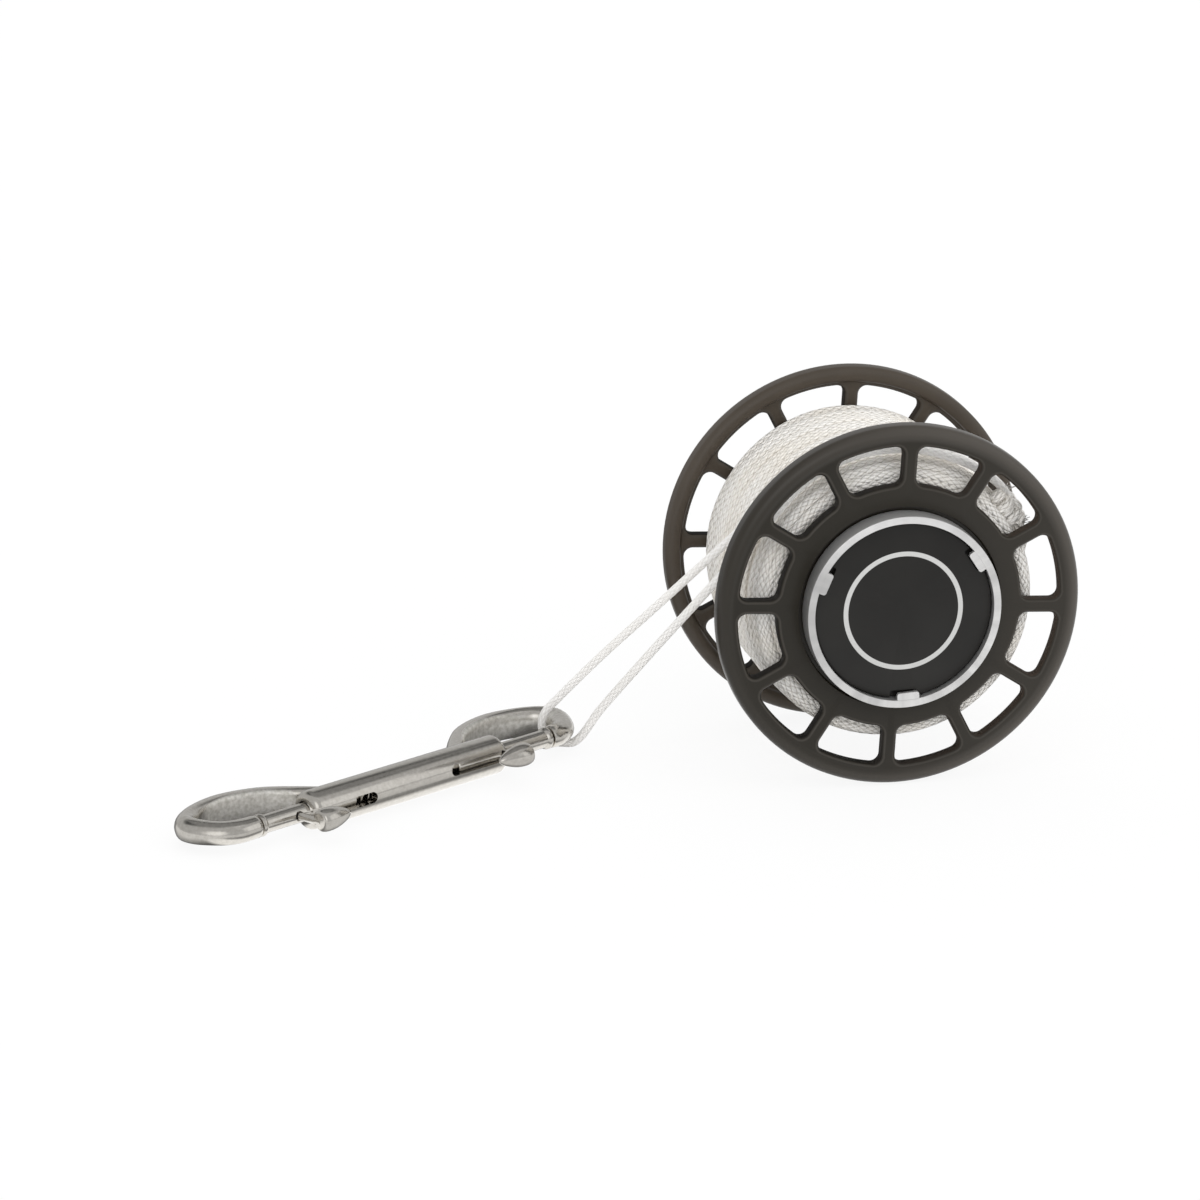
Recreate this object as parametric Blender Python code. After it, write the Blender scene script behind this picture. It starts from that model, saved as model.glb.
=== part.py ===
"""Finger spool: two windowed flanges on a drum of wound line, a finger cup on
bearings at each end, and a loop of line that holds a double-ended snap.

Metres, +Z up. The origin is on the floor under the middle of the spool, whose
axis lies along Y. The front flange faces -Y.
"""
import math

import bmesh
import bpy
from mathutils import Matrix, Vector

FULL_TURN = 2 * math.pi
FIT = 0.0003                      # gap between pieces that touch on the real object
MERGE_DISTANCE = 0.000001
OVERRUN = 0.001                   # how far a cutter runs past the face that it opens
SHARP_ANGLE = math.radians(32)

# Flanges
RIM_RADIUS = 0.0425
RIM_SPACING = 0.0507              # between the middle planes of the two rims
RIM_WIDTH = 0.0060
RIM_DEPTH = 0.0036                # from the windows' outer arc to where the rim thickens
RIM_EDGE_DROP = 0.0019            # how far the rim's rounded edge runs down its side
WEB_THICKNESS = 0.0036
WEB_SETBACK = 0.0010              # web's inner face, inward of the rim's middle plane
WINDOW_RIM_BAND = 0.0047          # from the windows' outer arc to the rim's edge
WINDOW_HUB_BAND = 0.00495         # from the counterbore to the windows' inner arc
WINDOW_CORNER_SHARE = 0.21858     # of a window's height
SPOKE_WIDTH = 0.0032
SPOKE_COUNT = 12
SPOKE_ANGLE = math.radians(86.4)
COUNTERBORE_DEPTH = 0.0016
COUNTERBORE_GAP = 0.0010          # around the finger cup

# Finger cups, their caps and the screws that hold them
CUP_RADIUS = 0.0227
CUP_WALL = 0.00155
CUP_FLOOR = 0.0015
CUP_PROUD = 0.0043                # cup's face beyond the web's outer face
CUP_RUNNING_GAP = 0.0004
CUP_CHAMFER = 0.0003
TAB_WIDTH = 0.0052
TAB_REACH = 0.00195
TAB_THICKNESS = 0.00115
TAB_RECESS = 0.0001               # below the cup's face
TAB_ANGLES = [math.radians(32.5), math.radians(156.7), math.radians(273.1)]
NOTCH_TURN = math.radians(-3.2)   # from a tab to the cap's notch beside it
CAP_CHAMFER = 0.0005
CUP_SCREW_RADIUS = 0.0025
CUP_SCREW_HEAD_RADIUS = 0.0044
CUP_SCREW_HEAD_HEIGHT = 0.0019
CUP_SCREW_LENGTH = 0.0120
CUP_SCREW_SOCKET = 0.0015
SOCKET_DEPTH = 0.0012

# Drum, axle and bearings
DRUM_RADIUS = 0.0190
BEARING_RADIUS = 0.0110
BEARING_BORE_RADIUS = 0.0040
BEARING_WIDTH = 0.0070
BALL_RADIUS = 0.0020
BALL_COUNT = 7
GROOVE_SHARE = 0.7                # of the ball's radius, to each side of the groove
CAGE_FACES_PER_BALL = 4
SHOULDER_HEIGHT = 0.0012          # lip that holds a bearing's outer race
CAGE_RING_WIDTH = 0.0018
CAGE_RING_THICKNESS = 0.0008
CAGE_PRONG_LENGTH = 0.0027
AXLE_ENGAGEMENT = 0.0013          # how far the axle enters a cup's boss
SPACER_WALL = 0.0016
FLANGE_SCREW_COUNT = 3
FLANGE_SCREW_RADIUS = 0.0011
FLANGE_SCREW_HEAD_RADIUS = 0.0019
FLANGE_SCREW_HEAD_HEIGHT = 0.0010
FLANGE_SCREW_LENGTH = 0.0080
FLANGE_SCREW_SOCKET = 0.0008
FLANGE_SCREW_TURN = math.radians(50)

# Line
LINE_DIAMETER = 0.0020
END_STRAIGHT_SHARE = 1.1          # straight stretch at an end, of the line's diameter
WINDING_RADIUS = 0.0323           # middle of the wound line
WINDING_HALF_WIDTH = 0.0228
LOOP_COUNT = 17
POINTS_PER_LOOP = 24
DIVE_ANGLE = math.radians(30)     # where the line comes up out of the layer below
DIVE_DEPTH = 0.0022
RISE_ANGLE = math.radians(105)    # where the last stretch climbs over its neighbours
RISE_LAYER = 0.0024
CLIMB_LAYER_SHARE = 0.45           # of that stretch, where each climb ends or starts
CLIMB_ACROSS_SHARE = 0.30
CLIMB_END_SHARE = 0.85
WINDING_END_ANGLE = math.radians(35)
KNOT_RADIUS = 0.0029
KNOT_WRAPS = 3
KNOT_WRAP_DEPTH = 0.0005
KNOT_NEST_ANGLE = math.radians(30)     # wraps lie in each other's hollows
KNOT_END_SHARE = 1.15             # a flat end's radius, of the line's diameter
KNOT_CREST_START_SHARE = 0.3      # of a wrap's length
KNOT_CREST_END_SHARE = 0.7
KNOT_CENTRE_Y = -0.0180
MILLIMETRE = 0.001
LOOP_SAMPLE_LENGTH = 0.0060
LOOP_SAMPLE_TURN = math.radians(20)

# Double-ended snap, in its own frame: X along the barrel, Y to the hooks' side
SNAP_PLACE = Vector((-0.11290, -0.01460, 0.00474))
SNAP_HEADING = math.radians(29.95)
SNAP_PITCH = math.radians(-0.35)
SNAP_ROLL = math.radians(-0.4)
BARREL_RADIUS = 0.00455
BARREL_HALF_LENGTH = 0.0286
BARREL_SHOULDER = 0.0015
BARREL_MIDDLE_WALL = 0.0024
GATE_RADIUS = 0.0021
GATE_BORE_GAP = 0.0004
GATE_NOSE = 0.0432
GATE_COLLAR = 0.0010
GATE_COLLAR_RISE = 0.0005
GATE_TAIL = 0.0155                # gate's inner end when shut
SLOT_WIDTH = 0.0026
SLOT_END = 0.0112
HOOK_TIP = 0.0435
NECK_RADIUS = 0.0009
NECK_SETBACK = 0.0006             # from the stud's blunt end
NECK_SEAT_DEPTH = 0.0009
STUD_RADIUS = 0.0027
STUD_LENGTH = 0.0092
LEFT_STUD_BLUNT_END = 0.0328
RIGHT_STUD_BLUNT_END = 0.0300
LEFT_GATE_ROLL = math.radians(4.6)
RIGHT_GATE_ROLL = math.radians(10.6)
STUD_OFFSET = 0.0098              # from the gate's axis
STUD_LIFT = 0.0003
SPRING_WIRE = 0.0005
SPRING_CURLS = 6
POINTS_PER_CURL = 8
SPRING_COIL_RADIUS = 0.0017
SPRING_TAIL_SHARE = 1.5           # of the wire's thickness

# Steps round a turned piece
RIM_STEPS = 48
DRUM_STEPS = 28
BEARING_STEPS = 18
SMALL_STEPS = 10

# Hooks: points along the middle of one hook, chosen by hand, with the half
# thickness across the hook and the half height there
HOOK_PATH = [
    (0.0145, 0.0036, 0.0006, 0.0016),
    (0.0190, 0.0046, 0.0017, 0.0023),
    (0.0245, 0.0093, 0.0019, 0.0024),
    (0.0310, 0.0140, 0.0019, 0.0025),
    (0.0398, 0.0162, 0.0019, 0.0026),
    (0.0478, 0.0149, 0.0021, 0.0027),
    (0.0530, 0.0118, 0.0025, 0.0028),
    (0.0544, 0.0077, 0.0029, 0.0029),
    (0.0516, 0.0026, 0.0030, 0.0027),
    (0.0472, 0.0002, 0.0029, 0.0027),
    (HOOK_TIP, 0.0000, 0.0027, 0.0026),
]
HOOK_SIDES = 10
HOOK_STEPS_PER_SPAN = 2

# Free loop of line: its route's own points in millimetres, chosen by hand,
# from the knot over the winding, down round the snap's right hook and back
LINE_LOOP_ROUTE = [
    (29.7, -16.8, 63.9),
    (28.6, -16.8, 65.9),
    (24.8, -16.7, 68.8),
    (17.6, -16.4, 72.9),
    (7.5, -15.8, 76.7),
    (-4.5, -15.1, 77.2),
    (-16.5, -14.3, 73.3),
    (-26.8, -13.5, 64.8),
    (-38.3, -6.0, 51.0),
    (-49.9, 1.6, 37.0),
    (-61.3, 9.1, 23.3),
    (-70.5, 14.8, 11.6),
    (-72.7, 15.8, 8.8),
    (-73.6, 16.4, 5.6),
    (-73.0, 16.4, 2.9),
    (-70.9, 15.7, 1.2),
    (-68.8, 14.7, 1.0),
    (-66.9, 13.8, 1.2),
    (-65.2, 12.6, 2.9),
    (-63.4, 11.1, 6.2),
    (-61.7, 9.9, 9.4),
    (-53.5, 2.7, 22.7),
    (-45.3, -4.6, 35.7),
    (-37.2, -12.0, 48.5),
    (-29.5, -19.0, 61.1),
    (-19.2, -19.2, 71.7),
    (-7.0, -19.3, 76.8),
    (6.0, -19.4, 76.9),
    (17.6, -19.4, 72.9),
    (24.8, -19.3, 68.8),
    (28.6, -19.2, 65.9),
    (29.7, -19.2, 63.9),
]

# Places worked out from the sizes above
HALF_SPACING = RIM_SPACING / 2
WEB_INNER = HALF_SPACING - WEB_SETBACK
WEB_OUTER = WEB_INNER + WEB_THICKNESS
COUNTERBORE_FLOOR = WEB_OUTER - COUNTERBORE_DEPTH
COUNTERBORE_RADIUS = CUP_RADIUS + COUNTERBORE_GAP
WINDOW_INNER_RADIUS = COUNTERBORE_RADIUS + WINDOW_HUB_BAND
WINDOW_OUTER_RADIUS = RIM_RADIUS - WINDOW_RIM_BAND
WINDOW_CORNER = (WINDOW_OUTER_RADIUS - WINDOW_INNER_RADIUS) * WINDOW_CORNER_SHARE
SHOULDER_RADIUS = BEARING_RADIUS - SHOULDER_HEIGHT
BEARING_SEAT_RADIUS = BEARING_RADIUS + FIT
BEARING_OUTER_FACE = WEB_INNER - FIT
BEARING_INNER_FACE = BEARING_OUTER_FACE - BEARING_WIDTH
BEARING_MIDDLE = (BEARING_OUTER_FACE + BEARING_INNER_FACE) / 2
BALL_CIRCLE = (BEARING_RADIUS + BEARING_BORE_RADIUS) / 2
AXLE_RADIUS = BEARING_BORE_RADIUS - FIT
SPACER_RADIUS = BEARING_BORE_RADIUS + SPACER_WALL
CUP_BACK = COUNTERBORE_FLOOR + CUP_RUNNING_GAP
CUP_FLOOR_TOP = CUP_BACK + CUP_FLOOR
CUP_FACE = WEB_OUTER + CUP_PROUD
CUP_INNER_RADIUS = CUP_RADIUS - CUP_WALL
BOSS_FACE = BEARING_OUTER_FACE + FIT
AXLE_END = BOSS_FACE + AXLE_ENGAGEMENT
CAP_FACE = CUP_FACE - TAB_RECESS - TAB_THICKNESS - FIT
CAP_BACK = CUP_FLOOR_TOP + FIT
CAP_RADIUS = CUP_INNER_RADIUS - FIT
CUP_SCREW_TOP = CUP_FLOOR_TOP - FIT / 2
FLANGE_SCREW_TOP = COUNTERBORE_FLOOR - FIT / 2
FLANGE_SCREW_CIRCLE = (BEARING_SEAT_RADIUS + DRUM_RADIUS) / 2
LINE_RADIUS = LINE_DIAMETER / 2
CORE_RADIUS = WINDING_RADIUS * math.cos(FULL_TURN / POINTS_PER_LOOP / 2) - LINE_RADIUS - FIT
KNOT_CIRCLE = WINDING_RADIUS + LINE_RADIUS + FIT + KNOT_RADIUS
KNOT_HALF_LENGTH = KNOT_WRAPS * LINE_DIAMETER * math.cos(KNOT_NEST_ANGLE) / 2 + LINE_RADIUS
GATE_BORE_RADIUS = GATE_RADIUS + GATE_BORE_GAP
SNAP_SIDES = ((-1, "left", LEFT_GATE_ROLL), (1, "right", RIGHT_GATE_ROLL))


def clear_scene():
    for old in list(bpy.data.objects):
        bpy.data.objects.remove(old, do_unlink=True)


def make_material(name, colour, roughness, metallic):
    material = bpy.data.materials.new(name)
    material.use_nodes = True
    shader = material.node_tree.nodes["Principled BSDF"]
    shader.inputs["Base Color"].default_value = (*colour, 1.0)
    shader.inputs["Roughness"].default_value = roughness
    shader.inputs["Metallic"].default_value = metallic
    return material


def anodised_black(name):
    return make_material(name, (0.045, 0.042, 0.038), 0.45, 0.7)


def satin_silver(name):
    return make_material(name, (0.62, 0.62, 0.62), 0.35, 1.0)


def polished_steel(name):
    return make_material(name, (0.66, 0.65, 0.62), 0.15, 1.0)


def bearing_steel(name):
    return make_material(name, (0.50, 0.50, 0.52), 0.20, 1.0)


def white_line(name):
    return make_material(name, (0.80, 0.78, 0.74), 0.85, 0.0)


def make_empty(name, place, rotation, parent=None):
    empty = bpy.data.objects.new(name, None)
    bpy.context.scene.collection.objects.link(empty)
    empty.location = place
    empty.rotation_euler = rotation
    empty.parent = parent
    return empty


def finish_mesh(bm, name, material, parent):
    bmesh.ops.remove_doubles(bm, verts=bm.verts, dist=MERGE_DISTANCE)
    bmesh.ops.recalc_face_normals(bm, faces=bm.faces)
    mesh = bpy.data.meshes.new(name)
    bm.to_mesh(mesh)
    bm.free()
    mesh.shade_smooth()
    mesh.set_sharp_from_angle(angle=SHARP_ANGLE)
    made = bpy.data.objects.new(name, mesh)
    bpy.context.scene.collection.objects.link(made)
    made.parent = parent
    if material is not None:
        made.data.materials.append(material)
    return made


def turn(name, outline, steps, material=None, parent=None, closed=True):
    """Turn an outline of (radius, height) points about the local Z axis."""
    bm = bmesh.new()
    verts = [bm.verts.new((radius, 0, height)) for radius, height in outline]
    following = verts[1:] + verts[:1] if closed else verts[1:]
    edges = [bm.edges.new(pair) for pair in zip(verts, following)]
    bmesh.ops.spin(bm, geom=verts + edges, cent=(0, 0, 0), axis=(0, 0, 1),
                   angle=FULL_TURN, steps=steps, use_merge=True)
    return finish_mesh(bm, name, material, parent)


def turn_solid(name, outline, steps, material=None, parent=None):
    """Turn an outline that starts and ends on the axis."""
    return turn(name, outline, steps, material, parent, closed=False)


def extrude_outline(bm, points, bottom, top):
    verts = [bm.verts.new((x, y, bottom)) for x, y in points]
    face = bm.faces.new(verts)
    grown = bmesh.ops.extrude_face_region(bm, geom=[face])
    moved = [item for item in grown["geom"] if isinstance(item, bmesh.types.BMVert)]
    bmesh.ops.translate(bm, verts=moved, vec=(0, 0, top - bottom))


def box(bm, size, centre, rotation=None):
    made = bmesh.ops.create_cube(bm, size=1.0)
    bmesh.ops.scale(bm, verts=made["verts"], vec=size)
    bmesh.ops.translate(bm, verts=made["verts"], vec=centre)
    if rotation is not None:
        bmesh.ops.rotate(bm, verts=made["verts"], cent=(0, 0, 0), matrix=rotation)


def hide_guide(guide):
    guide.hide_render = True
    guide.display_type = "WIRE"


def combine(target, other, operation):
    hide_guide(other)
    step = target.modifiers.new(other.name, "BOOLEAN")
    step.operation = operation
    step.solver = "EXACT"
    step.object = other


def polar(radius, angle):
    return radius * math.cos(angle), radius * math.sin(angle)


def arc_points(centre, radius, start, end, segments):
    step = (end - start) / segments
    return [(centre[0] + radius * math.cos(start + i * step),
             centre[1] + radius * math.sin(start + i * step)) for i in range(segments + 1)]


def window_outline(middle):
    """One window between two spokes of even width, with rounded corners."""
    half_pitch = FULL_TURN / SPOKE_COUNT / 2
    reach = SPOKE_WIDTH / 2 + WINDOW_CORNER
    outer_radius = WINDOW_OUTER_RADIUS - WINDOW_CORNER
    inner_radius = WINDOW_INNER_RADIUS + WINDOW_CORNER
    outer_swing = half_pitch - math.asin(reach / outer_radius)
    inner_swing = half_pitch - math.asin(reach / inner_radius)
    side = half_pitch + math.pi / 2
    corners = [
        (outer_radius, -outer_swing, -side, -outer_swing),
        (outer_radius, outer_swing, outer_swing, side),
        (inner_radius, inner_swing, side, inner_swing + math.pi),
        (inner_radius, -inner_swing, math.pi - inner_swing, FULL_TURN - side),
    ]
    points = []
    for radius, angle, start, end in corners:
        centre = polar(radius, middle + angle)
        points += arc_points(centre, WINDOW_CORNER, middle + start, middle + end, 2)
        if angle < 0 and radius == outer_radius:
            points.append(polar(WINDOW_OUTER_RADIUS, middle))
        if angle > 0 and radius == inner_radius:
            points.append(polar(WINDOW_INNER_RADIUS, middle))
    return points


def flange_outline():
    half_width = RIM_WIDTH / 2
    rim_root = WINDOW_OUTER_RADIUS + RIM_DEPTH / 3
    rim_flat = RIM_RADIUS - RIM_EDGE_DROP
    quarter = RIM_EDGE_DROP / 4
    return [
        (SHOULDER_RADIUS, COUNTERBORE_FLOOR),
        (COUNTERBORE_RADIUS, COUNTERBORE_FLOOR),
        (COUNTERBORE_RADIUS, WEB_OUTER),
        (rim_root, WEB_OUTER),
        (rim_flat, HALF_SPACING + half_width),
        (RIM_RADIUS - quarter, HALF_SPACING + half_width - quarter * 2),
        (RIM_RADIUS, HALF_SPACING + half_width - RIM_EDGE_DROP),
        (RIM_RADIUS, HALF_SPACING - half_width + RIM_EDGE_DROP),
        (RIM_RADIUS - quarter, HALF_SPACING - half_width + quarter * 2),
        (rim_flat, HALF_SPACING - half_width),
        (rim_root, HALF_SPACING - half_width),
        (rim_root, WEB_INNER),
        (SHOULDER_RADIUS, WEB_INNER),
    ]


def flange_screw_places():
    pitch = FULL_TURN / FLANGE_SCREW_COUNT
    return [polar(FLANGE_SCREW_CIRCLE, FLANGE_SCREW_TURN + i * pitch)
            for i in range(FLANGE_SCREW_COUNT)]


def countersunk_outline(radius, head_radius, head_height, top, bottom, lift=0):
    return [
        (0, top + lift),
        (head_radius, top + lift),
        (head_radius, top),
        (radius, top - head_height),
        (radius, bottom),
        (0, bottom),
    ]


def make_flange(name, parent):
    flange = turn(name, flange_outline(), RIM_STEPS, anodised_black(name), parent)
    bm = bmesh.new()
    pitch = FULL_TURN / SPOKE_COUNT
    for i in range(SPOKE_COUNT):
        middle = SPOKE_ANGLE + pitch * i + pitch / 2
        extrude_outline(bm, window_outline(middle), WEB_INNER - OVERRUN, WEB_OUTER + OVERRUN)
    windows = finish_mesh(bm, name + "_windows", None, parent)
    combine(flange, windows, "DIFFERENCE")
    hole = countersunk_outline(
        FLANGE_SCREW_RADIUS + FIT, FLANGE_SCREW_HEAD_RADIUS + FIT,
        FLANGE_SCREW_HEAD_HEIGHT, COUNTERBORE_FLOOR, WEB_INNER - OVERRUN, OVERRUN)
    for i, place in enumerate(flange_screw_places(), start=1):
        cutter = turn_solid(f"{name}_hole_{i}", hole, SMALL_STEPS, None, parent)
        cutter.location = (*place, 0)
        combine(flange, cutter, "DIFFERENCE")


def make_drum(parent, frames):
    end = WEB_INNER - FIT
    seat_end = BEARING_INNER_FACE - FIT
    drum = turn("drum", [
        (BEARING_SEAT_RADIUS, end),
        (DRUM_RADIUS, end),
        (DRUM_RADIUS, -end),
        (BEARING_SEAT_RADIUS, -end),
        (BEARING_SEAT_RADIUS, -seat_end),
        (SHOULDER_RADIUS, -seat_end),
        (SHOULDER_RADIUS, seat_end),
        (BEARING_SEAT_RADIUS, seat_end),
    ], DRUM_STEPS, anodised_black("drum"), parent)
    depth = FLANGE_SCREW_LENGTH + FIT
    for frame in frames:
        for i, place in enumerate(flange_screw_places(), start=1):
            cutter = turn_solid(f"{frame.name}_drum_hole_{i}", [
                (0, end + OVERRUN),
                (FLANGE_SCREW_RADIUS + FIT, end + OVERRUN),
                (FLANGE_SCREW_RADIUS + FIT, FLANGE_SCREW_TOP - depth),
                (0, FLANGE_SCREW_TOP - depth),
            ], SMALL_STEPS, None, frame)
            cutter.location = (*place, 0)
            combine(drum, cutter, "DIFFERENCE")


def make_screw(name, parent, place, sizes, top, length, socket, steps):
    radius, head_radius, head_height = sizes
    outline = countersunk_outline(radius, head_radius, head_height, top, top - length)
    outline.pop(1)
    screw = turn_solid(name, outline, steps, polished_steel(name), parent)
    screw.location = place
    key = turn_solid(name + "_socket", [
        (0, top + OVERRUN), (socket, top + OVERRUN),
        (socket, top - SOCKET_DEPTH), (0, top - SOCKET_DEPTH),
    ], 6, None, parent)
    key.location = place
    combine(screw, key, "DIFFERENCE")


def make_flange_screws(side_name, parent):
    sizes = (FLANGE_SCREW_RADIUS, FLANGE_SCREW_HEAD_RADIUS, FLANGE_SCREW_HEAD_HEIGHT)
    for i, place in enumerate(flange_screw_places(), start=1):
        make_screw(f"{side_name}_flange_screw_{i}", parent, (*place, 0), sizes,
                   FLANGE_SCREW_TOP, FLANGE_SCREW_LENGTH, FLANGE_SCREW_SOCKET, SMALL_STEPS)


def make_cup(side_name, parent):
    name = side_name + "_finger_cup"
    hole = CUP_SCREW_RADIUS + FIT
    head = CUP_SCREW_HEAD_RADIUS + FIT
    cup = turn(name, [
        (CUP_INNER_RADIUS, CUP_FACE),
        (CUP_RADIUS - CUP_CHAMFER, CUP_FACE),
        (CUP_RADIUS, CUP_FACE - CUP_CHAMFER),
        (CUP_RADIUS, CUP_BACK),
        (SPACER_RADIUS, CUP_BACK),
        (SPACER_RADIUS, BOSS_FACE),
        (BEARING_BORE_RADIUS, BOSS_FACE),
        (BEARING_BORE_RADIUS, AXLE_END + FIT),
        (hole, AXLE_END + FIT),
        (hole, CUP_FLOOR_TOP - CUP_SCREW_HEAD_HEIGHT),
        (head, CUP_FLOOR_TOP),
        (CUP_INNER_RADIUS, CUP_FLOOR_TOP),
    ], DRUM_STEPS, satin_silver(name), parent)
    outer = CUP_INNER_RADIUS + CUP_WALL / 2
    inner = CUP_INNER_RADIUS - TAB_REACH
    top = CUP_FACE - TAB_RECESS
    bm = bmesh.new()
    for angle in TAB_ANGLES:
        box(bm, (outer - inner, TAB_WIDTH, TAB_THICKNESS),
            ((outer + inner) / 2, 0, top - TAB_THICKNESS / 2), Matrix.Rotation(angle, 3, "Z"))
    tabs = finish_mesh(bm, name + "_tabs", None, parent)
    combine(cup, tabs, "UNION")


def make_cap(side_name, parent):
    name = side_name + "_centre_cap"
    cap = turn_solid(name, [
        (0, CAP_FACE),
        (CAP_RADIUS - CAP_CHAMFER, CAP_FACE),
        (CAP_RADIUS, CAP_FACE - CAP_CHAMFER),
        (CAP_RADIUS, CAP_BACK),
        (0, CAP_BACK),
    ], DRUM_STEPS, anodised_black(name), parent)
    reach = TAB_REACH + FIT
    bm = bmesh.new()
    for angle in TAB_ANGLES:
        box(bm, (reach + OVERRUN, TAB_WIDTH + 2 * FIT, CAP_FACE - CAP_BACK + 2 * OVERRUN),
            (CUP_INNER_RADIUS - reach / 2 + OVERRUN / 2, 0, (CAP_FACE + CAP_BACK) / 2),
            Matrix.Rotation(angle + NOTCH_TURN, 3, "Z"))
    notches = finish_mesh(bm, name + "_notches", None, parent)
    combine(cap, notches, "DIFFERENCE")


def make_cup_screw(side_name, parent):
    sizes = (CUP_SCREW_RADIUS, CUP_SCREW_HEAD_RADIUS, CUP_SCREW_HEAD_HEIGHT)
    make_screw(side_name + "_cup_screw", parent, (0, 0, 0), sizes,
               CUP_SCREW_TOP, CUP_SCREW_LENGTH, CUP_SCREW_SOCKET, BEARING_STEPS)


def make_axle(parent):
    axle = turn_solid("axle", [(0, AXLE_END), (AXLE_RADIUS, AXLE_END),
                               (AXLE_RADIUS, -AXLE_END), (0, -AXLE_END)],
                      BEARING_STEPS, polished_steel("axle"), parent)
    hole = CUP_SCREW_RADIUS + FIT
    bottom = CUP_SCREW_TOP - CUP_SCREW_LENGTH - FIT
    for side in (1, -1):
        cutter = turn_solid(f"axle_hole_{side}", [
            (0, AXLE_END + OVERRUN), (hole, AXLE_END + OVERRUN), (hole, bottom), (0, bottom),
        ], SMALL_STEPS, None, parent)
        cutter.rotation_euler = (0, 0 if side > 0 else math.pi, 0)
        combine(axle, cutter, "DIFFERENCE")
    end = BEARING_INNER_FACE - FIT
    turn("bearing_spacer", [(SPACER_RADIUS, end), (SPACER_RADIUS, -end),
                            (BEARING_BORE_RADIUS, -end), (BEARING_BORE_RADIUS, end)],
         BEARING_STEPS, satin_silver("bearing_spacer"), parent)


def race_outline(wall_radius, land_radius, groove_radius):
    half_groove = BALL_RADIUS * GROOVE_SHARE
    return [
        (wall_radius, BEARING_OUTER_FACE),
        (land_radius, BEARING_OUTER_FACE),
        (land_radius, BEARING_MIDDLE + BALL_RADIUS),
        (groove_radius, BEARING_MIDDLE + half_groove),
        (groove_radius, BEARING_MIDDLE - half_groove),
        (land_radius, BEARING_MIDDLE - BALL_RADIUS),
        (land_radius, BEARING_INNER_FACE),
        (wall_radius, BEARING_INNER_FACE),
    ]


def make_outer_race(side_name, parent):
    name = side_name + "_bearing_outer_race"
    groove = BALL_CIRCLE + BALL_RADIUS + FIT
    land = (groove + BALL_CIRCLE + BALL_RADIUS / 2) / 2
    turn(name, race_outline(BEARING_RADIUS, land, groove), BEARING_STEPS,
         bearing_steel(name), parent)


def make_inner_race(side_name, parent):
    name = side_name + "_bearing_inner_race"
    groove = BALL_CIRCLE - BALL_RADIUS - FIT
    land = (groove + BALL_CIRCLE - BALL_RADIUS / 2) / 2
    turn(name, race_outline(BEARING_BORE_RADIUS, land, groove), BEARING_STEPS,
         bearing_steel(name), parent)


def make_cage(side_name, parent):
    """A crown cage: a ring beside the balls, with a prong between each two."""
    name = side_name + "_bearing_cage"
    inner = BALL_CIRCLE - CAGE_RING_WIDTH / 2
    outer = BALL_CIRCLE + CAGE_RING_WIDTH / 2
    bottom = BEARING_MIDDLE + BALL_RADIUS + FIT
    steps = BALL_COUNT * CAGE_FACES_PER_BALL
    bm = bmesh.new()
    rings = []
    for radius, height in ((inner, bottom), (outer, bottom),
                           (outer, bottom + CAGE_RING_THICKNESS),
                           (inner, bottom + CAGE_RING_THICKNESS)):
        rings.append([bm.verts.new((*polar(radius, FULL_TURN * i / steps), height))
                      for i in range(steps)])
    prong_faces = []
    for k, ring in enumerate(rings):
        other = rings[(k + 1) % len(rings)]
        for i in range(steps):
            j = (i + 1) % steps
            face = bm.faces.new((ring[i], ring[j], other[j], other[i]))
            if k == 0 and i % CAGE_FACES_PER_BALL == 0:
                prong_faces.append(face)
    grown = bmesh.ops.extrude_discrete_faces(bm, faces=prong_faces)
    for face in grown["faces"]:
        bmesh.ops.translate(bm, verts=face.verts, vec=(0, 0, -CAGE_PRONG_LENGTH))
    return finish_mesh(bm, name, bearing_steel(name), parent)


def make_balls(side_name, parent):
    """Balls lie midway between the prongs of the cage."""
    pitch = FULL_TURN / BALL_COUNT
    first_angle = pitch / 2 + pitch / CAGE_FACES_PER_BALL / 2
    for i in range(BALL_COUNT):
        name = f"{side_name}_bearing_ball_{i + 1}"
        bm = bmesh.new()
        bmesh.ops.create_uvsphere(bm, u_segments=8, v_segments=4, radius=BALL_RADIUS)
        ball = finish_mesh(bm, name, bearing_steel(name), parent)
        ball.location = (*polar(BALL_CIRCLE, pitch * i + first_angle), BEARING_MIDDLE)


def make_curve_tube(name, points, radius, resolution, material, parent):
    curve = bpy.data.curves.new(name, "CURVE")
    curve.dimensions = "3D"
    curve.bevel_depth = radius
    curve.bevel_resolution = resolution
    curve.use_fill_caps = True
    spline = curve.splines.new("POLY")
    spline.points.add(len(points) - 1)
    for target, point in zip(spline.points, points):
        target.co = (*point, 1)
    curve.materials.append(material)
    tube = bpy.data.objects.new(name, curve)
    bpy.context.scene.collection.objects.link(tube)
    tube.parent = parent
    return tube


def segment_distance(a, b, c, d):
    """Least distance between the straight lines a-b and c-d."""
    first, second, between = b - a, d - c, a - c
    aa, bb, ab = first.dot(first), second.dot(second), first.dot(second)
    da, db = first.dot(between), second.dot(between)
    spread = aa * bb - ab * ab
    s = min(max((ab * db - bb * da) / spread, 0), 1) if spread > aa * bb * MERGE_DISTANCE else 0
    t = min(max((ab * s + db) / bb, 0), 1)
    s = min(max((ab * t - da) / aa, 0), 1)
    return (between + first * s - second * t).length


def report_gap(name, points, radius, near_share):
    """Print the least gap between stretches of a wound tube."""
    near = max(2, round(near_share))
    count = len(points) - 1
    least = min(segment_distance(points[i], points[i + 1], points[j], points[j + 1])
                for i in range(count) for j in range(i + near, count))
    print(f"{name}: least gap to itself {(least - 2 * radius) / MILLIMETRE:.2f} mm")


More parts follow.
